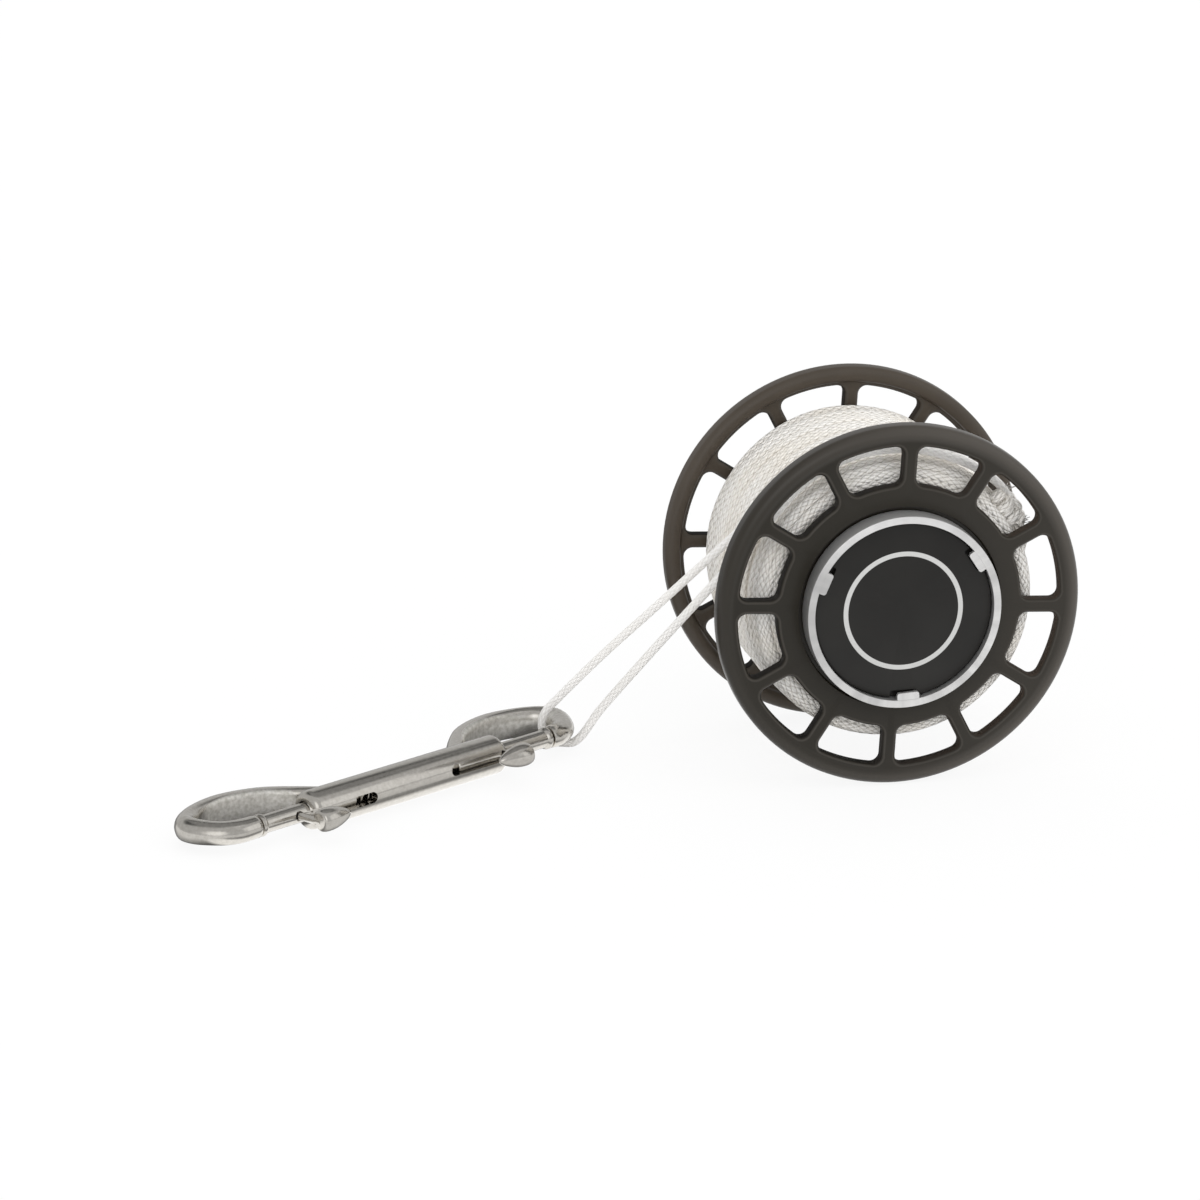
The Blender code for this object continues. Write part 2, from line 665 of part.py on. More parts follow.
def smooth_share(share):
    share = min(max(share, 0), 1)
    return share * share * (3 - 2 * share)


def share_between(value, start_share, end_share):
    return smooth_share((value - start_share) / (end_share - start_share))


def winding_points():
    """The top layer of line: it comes up out of the layer below at the rear, winds
    forward, and its last stretch climbs over its neighbours to the knot."""
    half_width = WINDING_HALF_WIDTH
    step_angle = FULL_TURN / POINTS_PER_LOOP
    start_angle = WINDING_END_ANGLE - LOOP_COUNT * FULL_TURN
    count = LOOP_COUNT * POINTS_PER_LOOP
    rise_steps = RISE_ANGLE / step_angle
    dive_steps = DIVE_ANGLE / step_angle
    pitch = 2 * half_width / (count - rise_steps)
    front = -half_width
    knot_rise = KNOT_CIRCLE - WINDING_RADIUS - RISE_LAYER
    points = []
    for i in range(count + 1):
        climb = (i - count + rise_steps) / rise_steps
        dive = smooth_share(1 - i / dive_steps)
        radius = WINDING_RADIUS - DIVE_DEPTH * dive
        radius += RISE_LAYER * smooth_share(climb / CLIMB_LAYER_SHARE)
        radius += knot_rise * share_between(climb, CLIMB_LAYER_SHARE, CLIMB_END_SHARE)
        along = half_width - pitch * i
        if climb > 0:
            across_share = share_between(climb, CLIMB_ACROSS_SHARE, CLIMB_END_SHARE)
            along = front + (KNOT_CENTRE_Y - front) * across_share
        x, z = polar(radius, start_angle + i * step_angle)
        points.append(Vector((x, z, -along)))
    straight = LINE_DIAMETER * END_STRAIGHT_SHARE
    first = (points[1] - points[0]).normalized() * straight
    last = (points[-1] - points[-2]).normalized() * straight
    points[0] = points[1] - first
    points[-1] = points[-2] + last
    return points


def make_line_pack(spool):
    points = winding_points()
    make_curve_tube("line_winding", points, LINE_RADIUS, 1, white_line("line_winding"), spool)
    report_gap("line_winding", points, LINE_RADIUS, POINTS_PER_LOOP / 3)
    end = WEB_INNER - FIT
    core = turn("line_core", [
        (DRUM_RADIUS + FIT, end), (CORE_RADIUS, end),
        (CORE_RADIUS, -end), (DRUM_RADIUS + FIT, -end),
    ], RIM_STEPS, white_line("line_core"), spool)
    direction = (points[1] - points[0]).normalized()
    guide = make_curve_tube("line_core_pocket_path", [points[0] - direction * FIT] + points[1:4],
                            LINE_RADIUS + 2 * FIT, 1, white_line("line_core_pocket"), spool)
    hide_guide(guide)
    pocket = bpy.data.objects.new("line_core_pocket", bpy.data.meshes.new_from_object(guide))
    bpy.context.scene.collection.objects.link(pocket)
    pocket.parent = spool
    combine(core, pocket, "DIFFERENCE")
    return points


def make_knot(spool, winding_end, winding_before):
    """A wrapped knot: bulging turns round the line, square to the winding's end."""
    direction = (winding_end - winding_before).normalized()
    wrap_length = 2 * KNOT_HALF_LENGTH / KNOT_WRAPS
    end_radius = LINE_DIAMETER * KNOT_END_SHARE
    outline = [(0, 0), (end_radius, 0)]
    for wrap in range(KNOT_WRAPS):
        start = wrap * wrap_length
        outline += [(KNOT_RADIUS, start + wrap_length * KNOT_CREST_START_SHARE),
                    (KNOT_RADIUS, start + wrap_length * KNOT_CREST_END_SHARE)]
        if wrap < KNOT_WRAPS - 1:
            outline.append((KNOT_RADIUS - KNOT_WRAP_DEPTH, start + wrap_length))
    outline += [(end_radius, 2 * KNOT_HALF_LENGTH), (0, 2 * KNOT_HALF_LENGTH)]
    knot = turn_solid("line_knot", outline, SMALL_STEPS, white_line("line_knot"), spool)
    knot.rotation_euler = direction.to_track_quat("Z", "Y").to_euler()
    knot.location = winding_end + direction * FIT


def smooth_route(route, samples):
    """Centripetal spline through the route's points, read at many samples."""
    points = [Vector(point) * MILLIMETRE for point in route]
    ends = [points[0] * 2 - points[1]] + points + [points[-1] * 2 - points[-2]]
    dense = []
    for a, b, c, d in zip(ends, ends[1:], ends[2:], ends[3:]):
        times = [0]
        for p, q in ((a, b), (b, c), (c, d)):
            times.append(times[-1] + math.sqrt((q - p).length))
        for k in range(samples):
            t = times[1] + (times[2] - times[1]) * k / samples
            ab = a.lerp(b, (t - times[0]) / (times[1] - times[0]))
            bc = b.lerp(c, (t - times[1]) / (times[2] - times[1]))
            cd = c.lerp(d, (t - times[2]) / (times[3] - times[2]))
            left = ab.lerp(bc, (t - times[0]) / (times[2] - times[0]))
            right = bc.lerp(cd, (t - times[1]) / (times[3] - times[1]))
            dense.append(left.lerp(right, (t - times[1]) / (times[2] - times[1])))
    dense.append(points[-1])
    return dense


def thin_points(dense, length, turn_limit):
    """Keep points no further apart than a length or a turn of the line."""
    kept = [dense[0]]
    run, turned = 0, 0
    for before, here, after in zip(dense, dense[1:], dense[2:]):
        run += (here - before).length
        turned += (here - before).angle(after - here)
        if run >= length or turned >= turn_limit:
            kept.append(here)
            run, turned = 0, 0
    return kept + [dense[-1]]


def make_line_loop():
    dense = smooth_route(LINE_LOOP_ROUTE, 24)
    points = thin_points(dense, LOOP_SAMPLE_LENGTH, LOOP_SAMPLE_TURN)
    make_curve_tube("line_loop", points, LINE_RADIUS, 2, white_line("line_loop"), None)
    length = sum((b - a).length for a, b in zip(points, points[1:]))
    print(f"line_loop: {len(points)} points, {length / MILLIMETRE:.0f} mm long")


def hook_rings(side):
    """Points and half sizes along one hook, from a smooth curve through its path."""
    path = [Vector((*entry,)) for entry in HOOK_PATH]
    ends = [path[0] * 2 - path[1]] + path + [path[-1] * 2 - path[-2]]
    rings = []
    for a, b, c, d in zip(ends, ends[1:], ends[2:], ends[3:]):
        for k in range(HOOK_STEPS_PER_SPAN):
            t = k / HOOK_STEPS_PER_SPAN
            rings.append((b * 2 + (c - a) * t + (a * 2 - b * 5 + c * 4 - d) * t * t
                          + (b * 3 - a - c * 3 + d) * t * t * t) / 2)
    rings.append(path[-1])
    return [(Vector((side * ring[0], ring[1], 0)), ring[2], ring[3]) for ring in rings]


def make_hook(name, side, parent):
    """Sweep an oval section along the hook, flat at its tip."""
    rings = hook_rings(side)
    bm = bmesh.new()
    loops = []
    for i, (centre, across, upright) in enumerate(rings):
        before = rings[max(i - 1, 0)][0]
        after = rings[min(i + 1, len(rings) - 1)][0]
        along = (after - before).normalized()
        if i == len(rings) - 1:
            along = Vector((-side, 0, 0))
        outward = Vector((-along.y, along.x, 0))
        loops.append([bm.verts.new(centre + outward * across * math.cos(angle)
                                   + Vector((0, 0, upright * math.sin(angle))))
                      for angle in (FULL_TURN * k / HOOK_SIDES for k in range(HOOK_SIDES))])
    for first, second in zip(loops, loops[1:]):
        for k in range(HOOK_SIDES):
            j = (k + 1) % HOOK_SIDES
            bm.faces.new((first[k], first[j], second[j], second[k]))
    bm.faces.new(loops[0])
    bm.faces.new(loops[-1])
    return finish_mesh(bm, name, None, parent)


def make_snap_body(parent):
    """Barrel, turned about its own axis, with a hook at each end."""
    middle = BARREL_MIDDLE_WALL / 2
    half = BARREL_HALF_LENGTH
    rim = BARREL_RADIUS - BARREL_SHOULDER / 2
    body = turn_solid("snap_body", [
        (0, middle), (GATE_BORE_RADIUS, middle), (GATE_BORE_RADIUS, half), (rim, half),
        (BARREL_RADIUS, half - BARREL_SHOULDER), (BARREL_RADIUS, BARREL_SHOULDER - half),
        (rim, -half), (GATE_BORE_RADIUS, -half), (GATE_BORE_RADIUS, -middle), (0, -middle),
    ], BEARING_STEPS, polished_steel("snap_body"), parent)
    body.data.transform(Matrix.Rotation(math.pi / 2, 4, "Y"))
    for side, side_name in ((-1, "left"), (1, "right")):
        hook = make_hook(side_name + "_hook_form", side, parent)
        combine(body, hook, "UNION")
    for side, side_name, roll in SNAP_SIDES:
        bm = bmesh.new()
        half_slot = SLOT_WIDTH / 2
        end = SLOT_END + half_slot
        outline = arc_points((end, 0), half_slot, math.pi / 2, math.pi * 3 / 2, 4)
        outline += [(half + OVERRUN, -half_slot), (half + OVERRUN, half_slot)]
        extrude_outline(bm, outline, 0, BARREL_RADIUS + OVERRUN)
        slot = finish_mesh(bm, side_name + "_slot", None, parent)
        slot.rotation_euler = (math.pi / 2 - side * roll, 0, 0 if side > 0 else math.pi)
        if side < 0:
            slot.data.transform(Matrix.Scale(-1, 4, (0, 0, 1)))
            slot.data.flip_normals()
        combine(body, slot, "DIFFERENCE")


def make_gate(side_name, side, neck_place, slide):
    """Gate bolt along the snap's axis. Its parent stands at the gate's nose."""
    name = side_name + "_gate_bolt"
    nose = 0
    tail = GATE_TAIL - GATE_NOSE
    collar = GATE_RADIUS + GATE_COLLAR_RISE
    gate = turn_solid(name, [
        (0, nose), (GATE_RADIUS, nose), (collar, nose - GATE_COLLAR / 3),
        (collar, nose - GATE_COLLAR), (GATE_RADIUS, nose - GATE_COLLAR - GATE_COLLAR_RISE),
        (GATE_RADIUS, tail), (0, tail),
    ], SMALL_STEPS, polished_steel(name), slide)
    gate.data.transform(Matrix.Rotation(math.pi / 2, 4, "Y"))
    seat = NECK_RADIUS + FIT
    socket = turn_solid(name + "_socket", [
        (0, GATE_RADIUS + OVERRUN), (seat, GATE_RADIUS + OVERRUN),
        (seat, GATE_RADIUS - NECK_SEAT_DEPTH), (0, GATE_RADIUS - NECK_SEAT_DEPTH),
    ], 8, None, slide)
    socket.rotation_euler = (side * math.pi / 2, 0, 0)
    socket.location = (neck_place - GATE_NOSE, 0, 0)
    combine(gate, socket, "DIFFERENCE")


def make_stud(side_name, side, blunt_end, slide):
    """Thumb stud: a drop-shaped knob on a thin neck from the gate."""
    name = side_name + "_thumb_stud"
    blunt = blunt_end - GATE_NOSE
    profile_shares = [(0, 0), (0.85, 0), (0.96, 0.07), (1.0, 0.26), (0.89, 0.5),
                      (0.63, 0.75), (0.33, 0.93), (0, 1.0)]
    knob = turn_solid(name, [(STUD_RADIUS * wide, blunt - STUD_LENGTH * along)
                             for wide, along in profile_shares],
                      SMALL_STEPS, polished_steel(name), slide)
    knob.data.transform(Matrix.Rotation(math.pi / 2, 4, "Y"))
    knob.data.transform(Matrix.Translation((0, -side * STUD_OFFSET, STUD_LIFT)))
    start = GATE_RADIUS - NECK_SEAT_DEPTH + FIT
    neck = turn_solid(name + "_neck", [
        (0, STUD_OFFSET), (NECK_RADIUS, STUD_OFFSET), (NECK_RADIUS, start), (0, start),
    ], 8, None, slide)
    neck.rotation_euler = (side * math.pi / 2, 0, 0)
    neck.location = (blunt - NECK_SETBACK, 0, 0)
    combine(knob, neck, "UNION")


def make_spring(side_name, side, slide):
    """Spring between the barrel's middle wall and the gate's inner end."""
    name = side_name + "_gate_spring"
    radius = SPRING_COIL_RADIUS
    gate_end = GATE_TAIL - GATE_NOSE - FIT
    wall_end = BARREL_MIDDLE_WALL / 2 - GATE_NOSE + FIT
    tail = SPRING_WIRE
    length = gate_end - wall_end - 2 * tail
    count = SPRING_CURLS * POINTS_PER_CURL
    coil = []
    for i in range(count + 1):
        y, z = polar(radius, FULL_TURN * i / POINTS_PER_CURL)
        coil.append(Vector((wall_end + tail + length * i / count, y, z)))
    coil[0].x += tail / 2
    coil[-1].x -= tail / 2
    end_length = SPRING_WIRE * SPRING_TAIL_SHARE
    first = coil[0] - Vector((end_length, 0, 0))
    last = coil[-1] + Vector((end_length, 0, 0))
    points = [first] + coil + [last]
    make_curve_tube(name, points, SPRING_WIRE / 2, 1, polished_steel(name), slide)
    report_gap(name, points, SPRING_WIRE / 2, POINTS_PER_CURL / 2 + 1)


def make_spool():
    spool = make_empty("spool_frame", (0, 0, RIM_RADIUS), (math.pi / 2, 0, 0))
    spoke_flip = Matrix.Rotation(math.pi, 4, Vector((*polar(1, SPOKE_ANGLE), 0)))
    back = make_empty("rear_frame", (0, 0, 0), spoke_flip.to_euler(), spool)
    spinner = make_empty("spinner_axis", (0, 0, 0), (0, 0, 0), spool)
    spinner_back = make_empty("rear_spinner_axis", (0, 0, 0), (0, math.pi, 0), spool)
    for side_name, fixed, turning in (("front", spool, spinner), ("rear", back, spinner_back)):
        make_flange(side_name + "_flange", fixed)
        make_flange_screws(side_name, fixed)
        make_cup(side_name, turning)
        make_cap(side_name, turning)
        make_cup_screw(side_name, turning)
        make_inner_race(side_name, turning)
        make_outer_race(side_name, turning)
        make_cage(side_name, turning)
        make_balls(side_name, turning)
    make_drum(spool, (spool, back))
    make_axle(spinner)
    points = make_line_pack(spool)
    make_knot(spool, points[-1], points[-2])


def make_snap():
    frame = make_empty("snap_frame", SNAP_PLACE, (0, 0, 0))
    heading = Matrix.Rotation(SNAP_HEADING, 4, "Z")
    tilt = Matrix.Rotation(SNAP_PITCH, 4, "Y") @ Matrix.Rotation(SNAP_ROLL, 4, "X")
    frame.rotation_euler = (heading @ tilt).to_euler()
    make_snap_body(frame)
    blunt_ends = {"left": LEFT_STUD_BLUNT_END, "right": RIGHT_STUD_BLUNT_END}
    for side, side_name, roll in SNAP_SIDES:
        turned = (-side * roll, 0, 0 if side > 0 else math.pi)
        slide = make_empty(side_name + "_gate_slide", (side * GATE_NOSE, 0, 0), turned, frame)
        make_gate(side_name, side, blunt_ends[side_name] - NECK_SETBACK, slide)
        make_stud(side_name, side, blunt_ends[side_name], slide)
        make_spring(side_name, side, slide)


def main():
    clear_scene()
    make_spool()
    make_line_loop()
    make_snap()


main()
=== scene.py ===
# %% [markdown]
# # A finger spool, its wound line and its double-ended snap
#
# A diver keeps guide line on a small hand spool like this one: two windowed
# flanges on a drum, a finger cup that turns on bearings at each end, and a loop
# of the same line that holds a steel snap. This lesson dresses the CAD model of
# it. Pieces whose shape is right keep their CAD mesh and get a finish. Pieces
# that show fine form, such as turned rims, braided line and a bent hook, are
# modelled again here at full smoothness, in the same places.
#
# We start by loading the CAD model.

# %% Load the CAD model
import math
import random

import bmesh
import bpy
from mathutils import Matrix, Vector


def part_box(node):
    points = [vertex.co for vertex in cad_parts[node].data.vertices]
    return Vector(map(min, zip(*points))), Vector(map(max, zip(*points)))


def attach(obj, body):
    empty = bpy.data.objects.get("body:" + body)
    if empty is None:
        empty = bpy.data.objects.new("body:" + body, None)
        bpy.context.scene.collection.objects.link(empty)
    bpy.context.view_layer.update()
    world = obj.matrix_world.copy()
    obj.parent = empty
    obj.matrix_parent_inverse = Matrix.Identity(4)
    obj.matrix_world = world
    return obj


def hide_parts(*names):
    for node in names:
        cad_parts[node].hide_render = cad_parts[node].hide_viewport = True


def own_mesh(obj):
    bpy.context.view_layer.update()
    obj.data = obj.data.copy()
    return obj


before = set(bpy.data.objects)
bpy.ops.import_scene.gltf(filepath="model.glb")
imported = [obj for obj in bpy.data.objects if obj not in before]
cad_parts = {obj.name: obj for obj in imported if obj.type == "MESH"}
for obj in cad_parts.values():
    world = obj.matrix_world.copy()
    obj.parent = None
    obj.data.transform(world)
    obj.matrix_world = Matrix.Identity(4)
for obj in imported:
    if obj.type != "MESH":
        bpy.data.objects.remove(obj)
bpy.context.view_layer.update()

scene = bpy.context.scene

# %% [markdown]
# ## Camera
#
# The photograph was taken with a long lens from the front left and a little
# above, so near and far parts have nearly the same scale. The camera's place and
# lens were fitted to the rims, the windows and the centre disc. We give it a
# matrix made from the three directions that it faces: right, up and backwards.

# %% Camera
CAMERA_PLACE = (-0.38414, -1.40363, 0.49912)
LOOKS_ALONG = (0.21218, 0.92881, -0.30380)

camera_data = bpy.data.cameras.new("camera")
camera_data.lens, camera_data.sensor_width = 198, 36
camera_data.clip_start, camera_data.clip_end = 0.05, 20
camera = bpy.data.objects.new("camera", camera_data)
scene.collection.objects.link(camera)
forwards = Vector(LOOKS_ALONG).normalized()
right = forwards.cross(Vector((0, 0, 1))).normalized()
up = right.cross(forwards)
camera.matrix_world = Matrix.Translation(CAMERA_PLACE) @ Matrix(
    (right, up, -forwards)).transposed().to_4x4()
scene.camera = camera
print("camera", [round(value, 3) for value in camera.matrix_world.translation])

# %% [markdown]
# ## Small helpers for working as by hand
#
# Operators act on whatever is selected, and loading leaves all CAD nodes
# selected. So we always deselect everything first, and then pick one piece. In
# edit mode, a drawn chain starts as a plane merged to one corner, which is
# moved to the first point and then extruded from point to point.

# %% Selecting and drawing
FULL_TURN = 2 * math.pi
SAME_PLACE = 1e-6


def select_only(*pieces):
    bpy.ops.object.select_all(action="DESELECT")
    for piece in pieces:
        piece.select_set(True)
    bpy.context.view_layer.objects.active = pieces[0]


def start_piece(name):
    """Add a plane at the origin, empty it and stay in edit mode."""
    bpy.ops.object.select_all(action="DESELECT")
    bpy.ops.mesh.primitive_plane_add(size=0.001, enter_editmode=True)
    bpy.context.object.name = name
    bpy.ops.mesh.delete(type="VERT")


def draw_chain(points, closed=False):
    """Draw a chain of edges in edit mode."""
    corners = [Vector(point) for point in points]
    if closed:
        corners.append(corners[0])
    bpy.ops.mesh.primitive_plane_add(size=0.001)
    bpy.ops.mesh.merge(type="CENTER")
    bpy.ops.transform.translate(value=corners[0])
    for before, after in zip(corners, corners[1:]):
        bpy.ops.mesh.extrude_region_move(TRANSFORM_OT_translate={"value": after - before})


def finish_piece(smooth_angle=35):
    """Merge doubles, turn faces outwards, leave edit mode and shade by angle."""
    bpy.ops.mesh.select_all(action="SELECT")
    bpy.ops.mesh.remove_doubles(threshold=SAME_PLACE)
    bpy.ops.mesh.normals_make_consistent(inside=False)
    bpy.ops.object.mode_set(mode="OBJECT")
    bpy.ops.object.shade_smooth_by_angle(angle=math.radians(smooth_angle))
    return bpy.context.object

# %% [markdown]
# ## Placing, copying and cutting
#
# A finished piece keeps its place in its mesh, so that its object sits at the
# origin. What repeats is modelled once and copied. A Boolean joins two solids or
# cuts one from the other, and the piece is then shaded by angle again.

# %% Placing, copying and cutting
def place_piece(piece, matrix):
    select_only(piece)
    piece.matrix_world = matrix
    bpy.ops.object.transform_apply(location=True, rotation=True, scale=True)


def copy_piece(piece, name):
    made = piece.copy()
    made.data = piece.data.copy()
    made.name = name
    scene.collection.objects.link(made)
    return made


def combine(target, other, operation):
    """Apply a Boolean and remove the other solid."""
    select_only(target)
    step = target.modifiers.new("combine", "BOOLEAN")
    step.operation = operation
    step.solver = "EXACT"
    step.object = other
    bpy.ops.object.modifier_apply(modifier=step.name)
    bpy.data.objects.remove(other, do_unlink=True)


def shade_again(piece, smooth_angle=35):
    select_only(piece)
    bpy.ops.object.shade_smooth_by_angle(angle=math.radians(smooth_angle))


def polar(radius, angle):
    return radius * math.cos(angle), radius * math.sin(angle)


def arc(centre, radius, start, end, segments):
    """Points (x, y) along a part of a circle, angles in degrees."""
    points = []
    for i in range(segments + 1):
        x, y = polar(radius, math.radians(start + (end - start) * i / segments))
        points.append((centre[0] + x, centre[1] + y))
    return points


def report(piece):
    print(f"{piece.name}: {len(piece.data.vertices)} corners, {len(piece.data.polygons)} faces")

# %% [markdown]
# ## Turning on a lathe
#
# Flanges, cups, caps and the snap's barrel are all turned parts. We draw half of
# the section as a chain of (radius, height) points, and spin it about the Z axis.
# A section that is closed gives a ring; one that starts and ends on the axis
# gives a solid, whose poles the merge closes.

# %% A lathe
def turned(name, section, steps=144, closed=True):
    start_piece(name)
    draw_chain([(radius, 0, height) for radius, height in section], closed)
    bpy.ops.mesh.select_all(action="SELECT")
    bpy.ops.mesh.remove_doubles(threshold=SAME_PLACE)
    bpy.ops.mesh.spin(steps=steps, angle=FULL_TURN, center=(0, 0, 0), axis=(0, 0, 1))
    return finish_piece()

# %% [markdown]
# ## Skinning drawn loops
#
# A bent hook or a flared cutter has a section that changes along its length. We
# draw each section as a closed loop and bridge each loop to the next one. The
# two loops are found by the places of their corners. A flat plate is one outline
# drawn at two heights, and a tongue is an outline with a rounded inner end.

# %% Bridging loop to loop
def place_key(point):
    return tuple(round(value * 1e7) for value in point)


def near_key(key, found):
    """A key or one of its neighbours, since a moved corner may round the other way."""
    return key in found or any((key[0] + i, key[1] + j, key[2] + k) in found
                               for i in (-1, 0, 1) for j in (-1, 0, 1) for k in (-1, 0, 1))


def select_loops(*loops):
    bpy.ops.mesh.select_all(action="DESELECT")
    bm = bmesh.from_edit_mesh(bpy.context.object.data)
    sets = [{place_key(point) for point in loop} for loop in loops]
    for edge in bm.edges:
        keys = [place_key(corner.co) for corner in edge.verts]
        if any(all(near_key(key, found) for key in keys) for found in sets):
            edge.select_set(True)
    bmesh.update_edit_mesh(bpy.context.object.data)


def skinned(name, loops, smooth_angle=35):
    """A closed solid through loops of (x, y, z) points, with flat ends."""
    start_piece(name)
    for loop in loops:
        draw_chain(loop, closed=True)
    bpy.ops.mesh.select_all(action="SELECT")
    bpy.ops.mesh.remove_doubles(threshold=SAME_PLACE)
    for first, second in zip(loops, loops[1:]):
        select_loops(first, second)
        bpy.ops.mesh.bridge_edge_loops()
    for end in (loops[0], loops[-1]):
        select_loops(end)
        bpy.ops.mesh.edge_face_add()
    return finish_piece(smooth_angle)


def plate(name, outline, *heights):
    return skinned(name, [[(x, y, height) for x, y in outline] for height in heights])


def tongue(inner, outer, half, corner, segments):
    """The outline of a plate along X with two rounded corners at its inner end."""
    return (arc((inner + corner, half - corner), corner, 90, 180, segments)
            + arc((inner + corner, corner - half), corner, 180, 270, segments)
            + [(outer, -half), (outer, half)])

# %% [markdown]
# ## Fields: values that vary over a surface
#
# Each finish is a small tree of nodes. A field stands for one output of a node,
# so a sum or product of fields is written as plain arithmetic, and each sign in
# it adds one Math node. Other nodes take their values in the order of their
# sockets, and give one field for each output.

# %% Fields
class Field:
    """One output of a node."""

    def __init__(self, socket):
        self.socket, self.tree = socket, socket.id_data

    def __add__(self, other):
        return calc("ADD", self, other)

    def __sub__(self, other):
        return calc("SUBTRACT", self, other)

    def __rsub__(self, other):
        return calc("SUBTRACT", other, self)

    def __mul__(self, other):
        return calc("MULTIPLY", self, other)

    def __truediv__(self, other):
        return calc("DIVIDE", self, other)


def feed(socket, value):
    """Link a field to a socket, or write a constant on it."""
    if isinstance(value, Field):
        value.tree.links.new(value.socket, socket)
    else:
        socket.default_value = (*value, 1) if socket.type == "RGBA" else value


def add_node(tree, kind, **values):
    """Add a node and give values to its settings and sockets, by name."""
    node = tree.nodes.new(kind)
    for name, value in values.items():
        if name in node.inputs:
            feed(node.inputs[name], value)
        else:
            setattr(node, name, value)
    return node


def through(kind, *values, **settings):
    """Put values through a new node, in the order of its sockets."""
    tree = next(value.tree for value in values if isinstance(value, Field))
    node = add_node(tree, kind, **settings)
    for socket, value in zip(node.inputs, values):
        feed(socket, value)
    return [Field(socket) for socket in node.outputs]

# %% [markdown]
# ## The nodes that the finishes use
#
# With fields, each kind of node needs only a line or two. A remap carries one
# range over to another and holds its ends. A shader node group holds an effect
# that more than one finish uses, and puts out only values that change over the
# surface. Every finish reads the place on the piece and ends in a bump.

# %% Nodes and materials
def calc(operation, *values):
    return through("ShaderNodeMath", *values, operation=operation)[0]


def vector_calc(operation, *values):
    return through("ShaderNodeVectorMath", *values, operation=operation)


def greatest(first, *others):
    for other in others:
        first = calc("MAXIMUM", first, other)
    return first


def remap(value, low, high, new_low, new_high):
    return through("ShaderNodeMapRange", value, low, high, new_low, new_high)[0]


def split(vector):
    return through("ShaderNodeSeparateXYZ", vector)


def noise(place, scale, detail):
    node = add_node(place.tree, "ShaderNodeTexNoise", Vector=place, Scale=scale, Detail=detail)
    return Field(node.outputs["Fac"])


def mix_colour(share, first, second):
    node = add_node(share.tree, "ShaderNodeMix", data_type="RGBA")
    for number, value in ((0, share), (6, first), (7, second)):
        feed(node.inputs[number], value)
    return Field(node.outputs[2])


def make_group(name, inputs, outputs):
    """A node group; inputs are (name, kind) and the outputs are all numbers."""
    group = bpy.data.node_groups.new(name, "ShaderNodeTree")
    for label, kind in inputs:
        group.interface.new_socket(label, in_out="INPUT", socket_type=kind)
    for label in outputs:
        group.interface.new_socket(label, in_out="OUTPUT", socket_type="NodeSocketFloat")
    given = group.nodes.new("NodeGroupInput")
    result = group.nodes.new("NodeGroupOutput")
    return group, [Field(given.outputs[label]) for label, _ in inputs], result.inputs


def new_material(name):
    """A material, its shader and the place on the surface."""
    material = bpy.data.materials.new(name)
    material.use_nodes = True
    tree = material.node_tree
    place = Field(add_node(tree, "ShaderNodeTexCoord").outputs["Object"])
    return material, tree.nodes["Principled BSDF"], place


def fill_shader(shader, height, strength, distance, **values):
    """Feed the shader's sockets, with _ for each space, and its bump by height."""
    for name, value in values.items():
        feed(shader.inputs[name.replace("_", " ")], value)
    bump = add_node(shader.id_data, "ShaderNodeBump", Strength=strength, Distance=distance,
                    Height=height)
    feed(shader.inputs["Normal"], Field(bump.outputs["Normal"]))

# %% [markdown]
# ## The braid of the line
#
# The line is a round braid of twelve bundles: six run round it one way and six
# the other way, each over and under the next. On an unrolled surface that is a
# chequerboard of long diamonds, in which each square shows the bundle on
# top. The group reads the line's own UV map, metres along and turns around, so
# the stitches follow every bend. It puts out a height for the bump, a mask for
# the shaded gaps between bundles and the grain of the single fibres.

# %% Braid group
BUNDLES_ONE_WAY, STITCH = 6, 0.0022
FIBRE_STRETCH = (2400, 20, 1)

braid, (line_uv,), braid_out = make_group(
    "braid", [("Line UV", "NodeSocketVector")], ("Height", "Gap", "Fibre"))
along, around, _ = split(line_uv)
one_way = along / STITCH + around * BUNDLES_ONE_WAY
other_way = along / STITCH - around * BUNDLES_ONE_WAY
rounds = []
for way in (one_way, other_way):
    from_middle = calc("FRACT", way) - 0.5
    rounds.append(1 - from_middle * from_middle * 4)
on_top = calc("FLOORED_MODULO", calc("FLOOR", one_way) + calc("FLOOR", other_way), 2)
first, second = [calc("POWER", across, 0.7) * (lengthwise * 0.5 + 0.5)
                 for across, lengthwise in (rounds, rounds[::-1])]
height = first * (1 - on_top) + second * on_top
feed(braid_out["Height"], height)
feed(braid_out["Gap"], remap(height, 0.05, 0.55, 1, 0))
feed(braid_out["Fibre"], noise(vector_calc("MULTIPLY", line_uv, FIBRE_STRETCH)[0], 1, 3))
print("braid group:", len(braid.nodes), "nodes")

# %% [markdown]
# ## Distance from the spool's axis
#
# Many finishes on the spool change with the distance from its axis or with the
# angle round it. The axis lies along Y, at the height of a rim's radius.

# %% Round the axis
AXIS_HEIGHT = 0.0425


def round_the_axis(place):
    """Distance from the spool's axis and the angle round it."""
    across, _, height = split(place)
    height = height - AXIS_HEIGHT
    return calc("SQRT", across * across + height * height), calc("ARCTAN2", height, across)
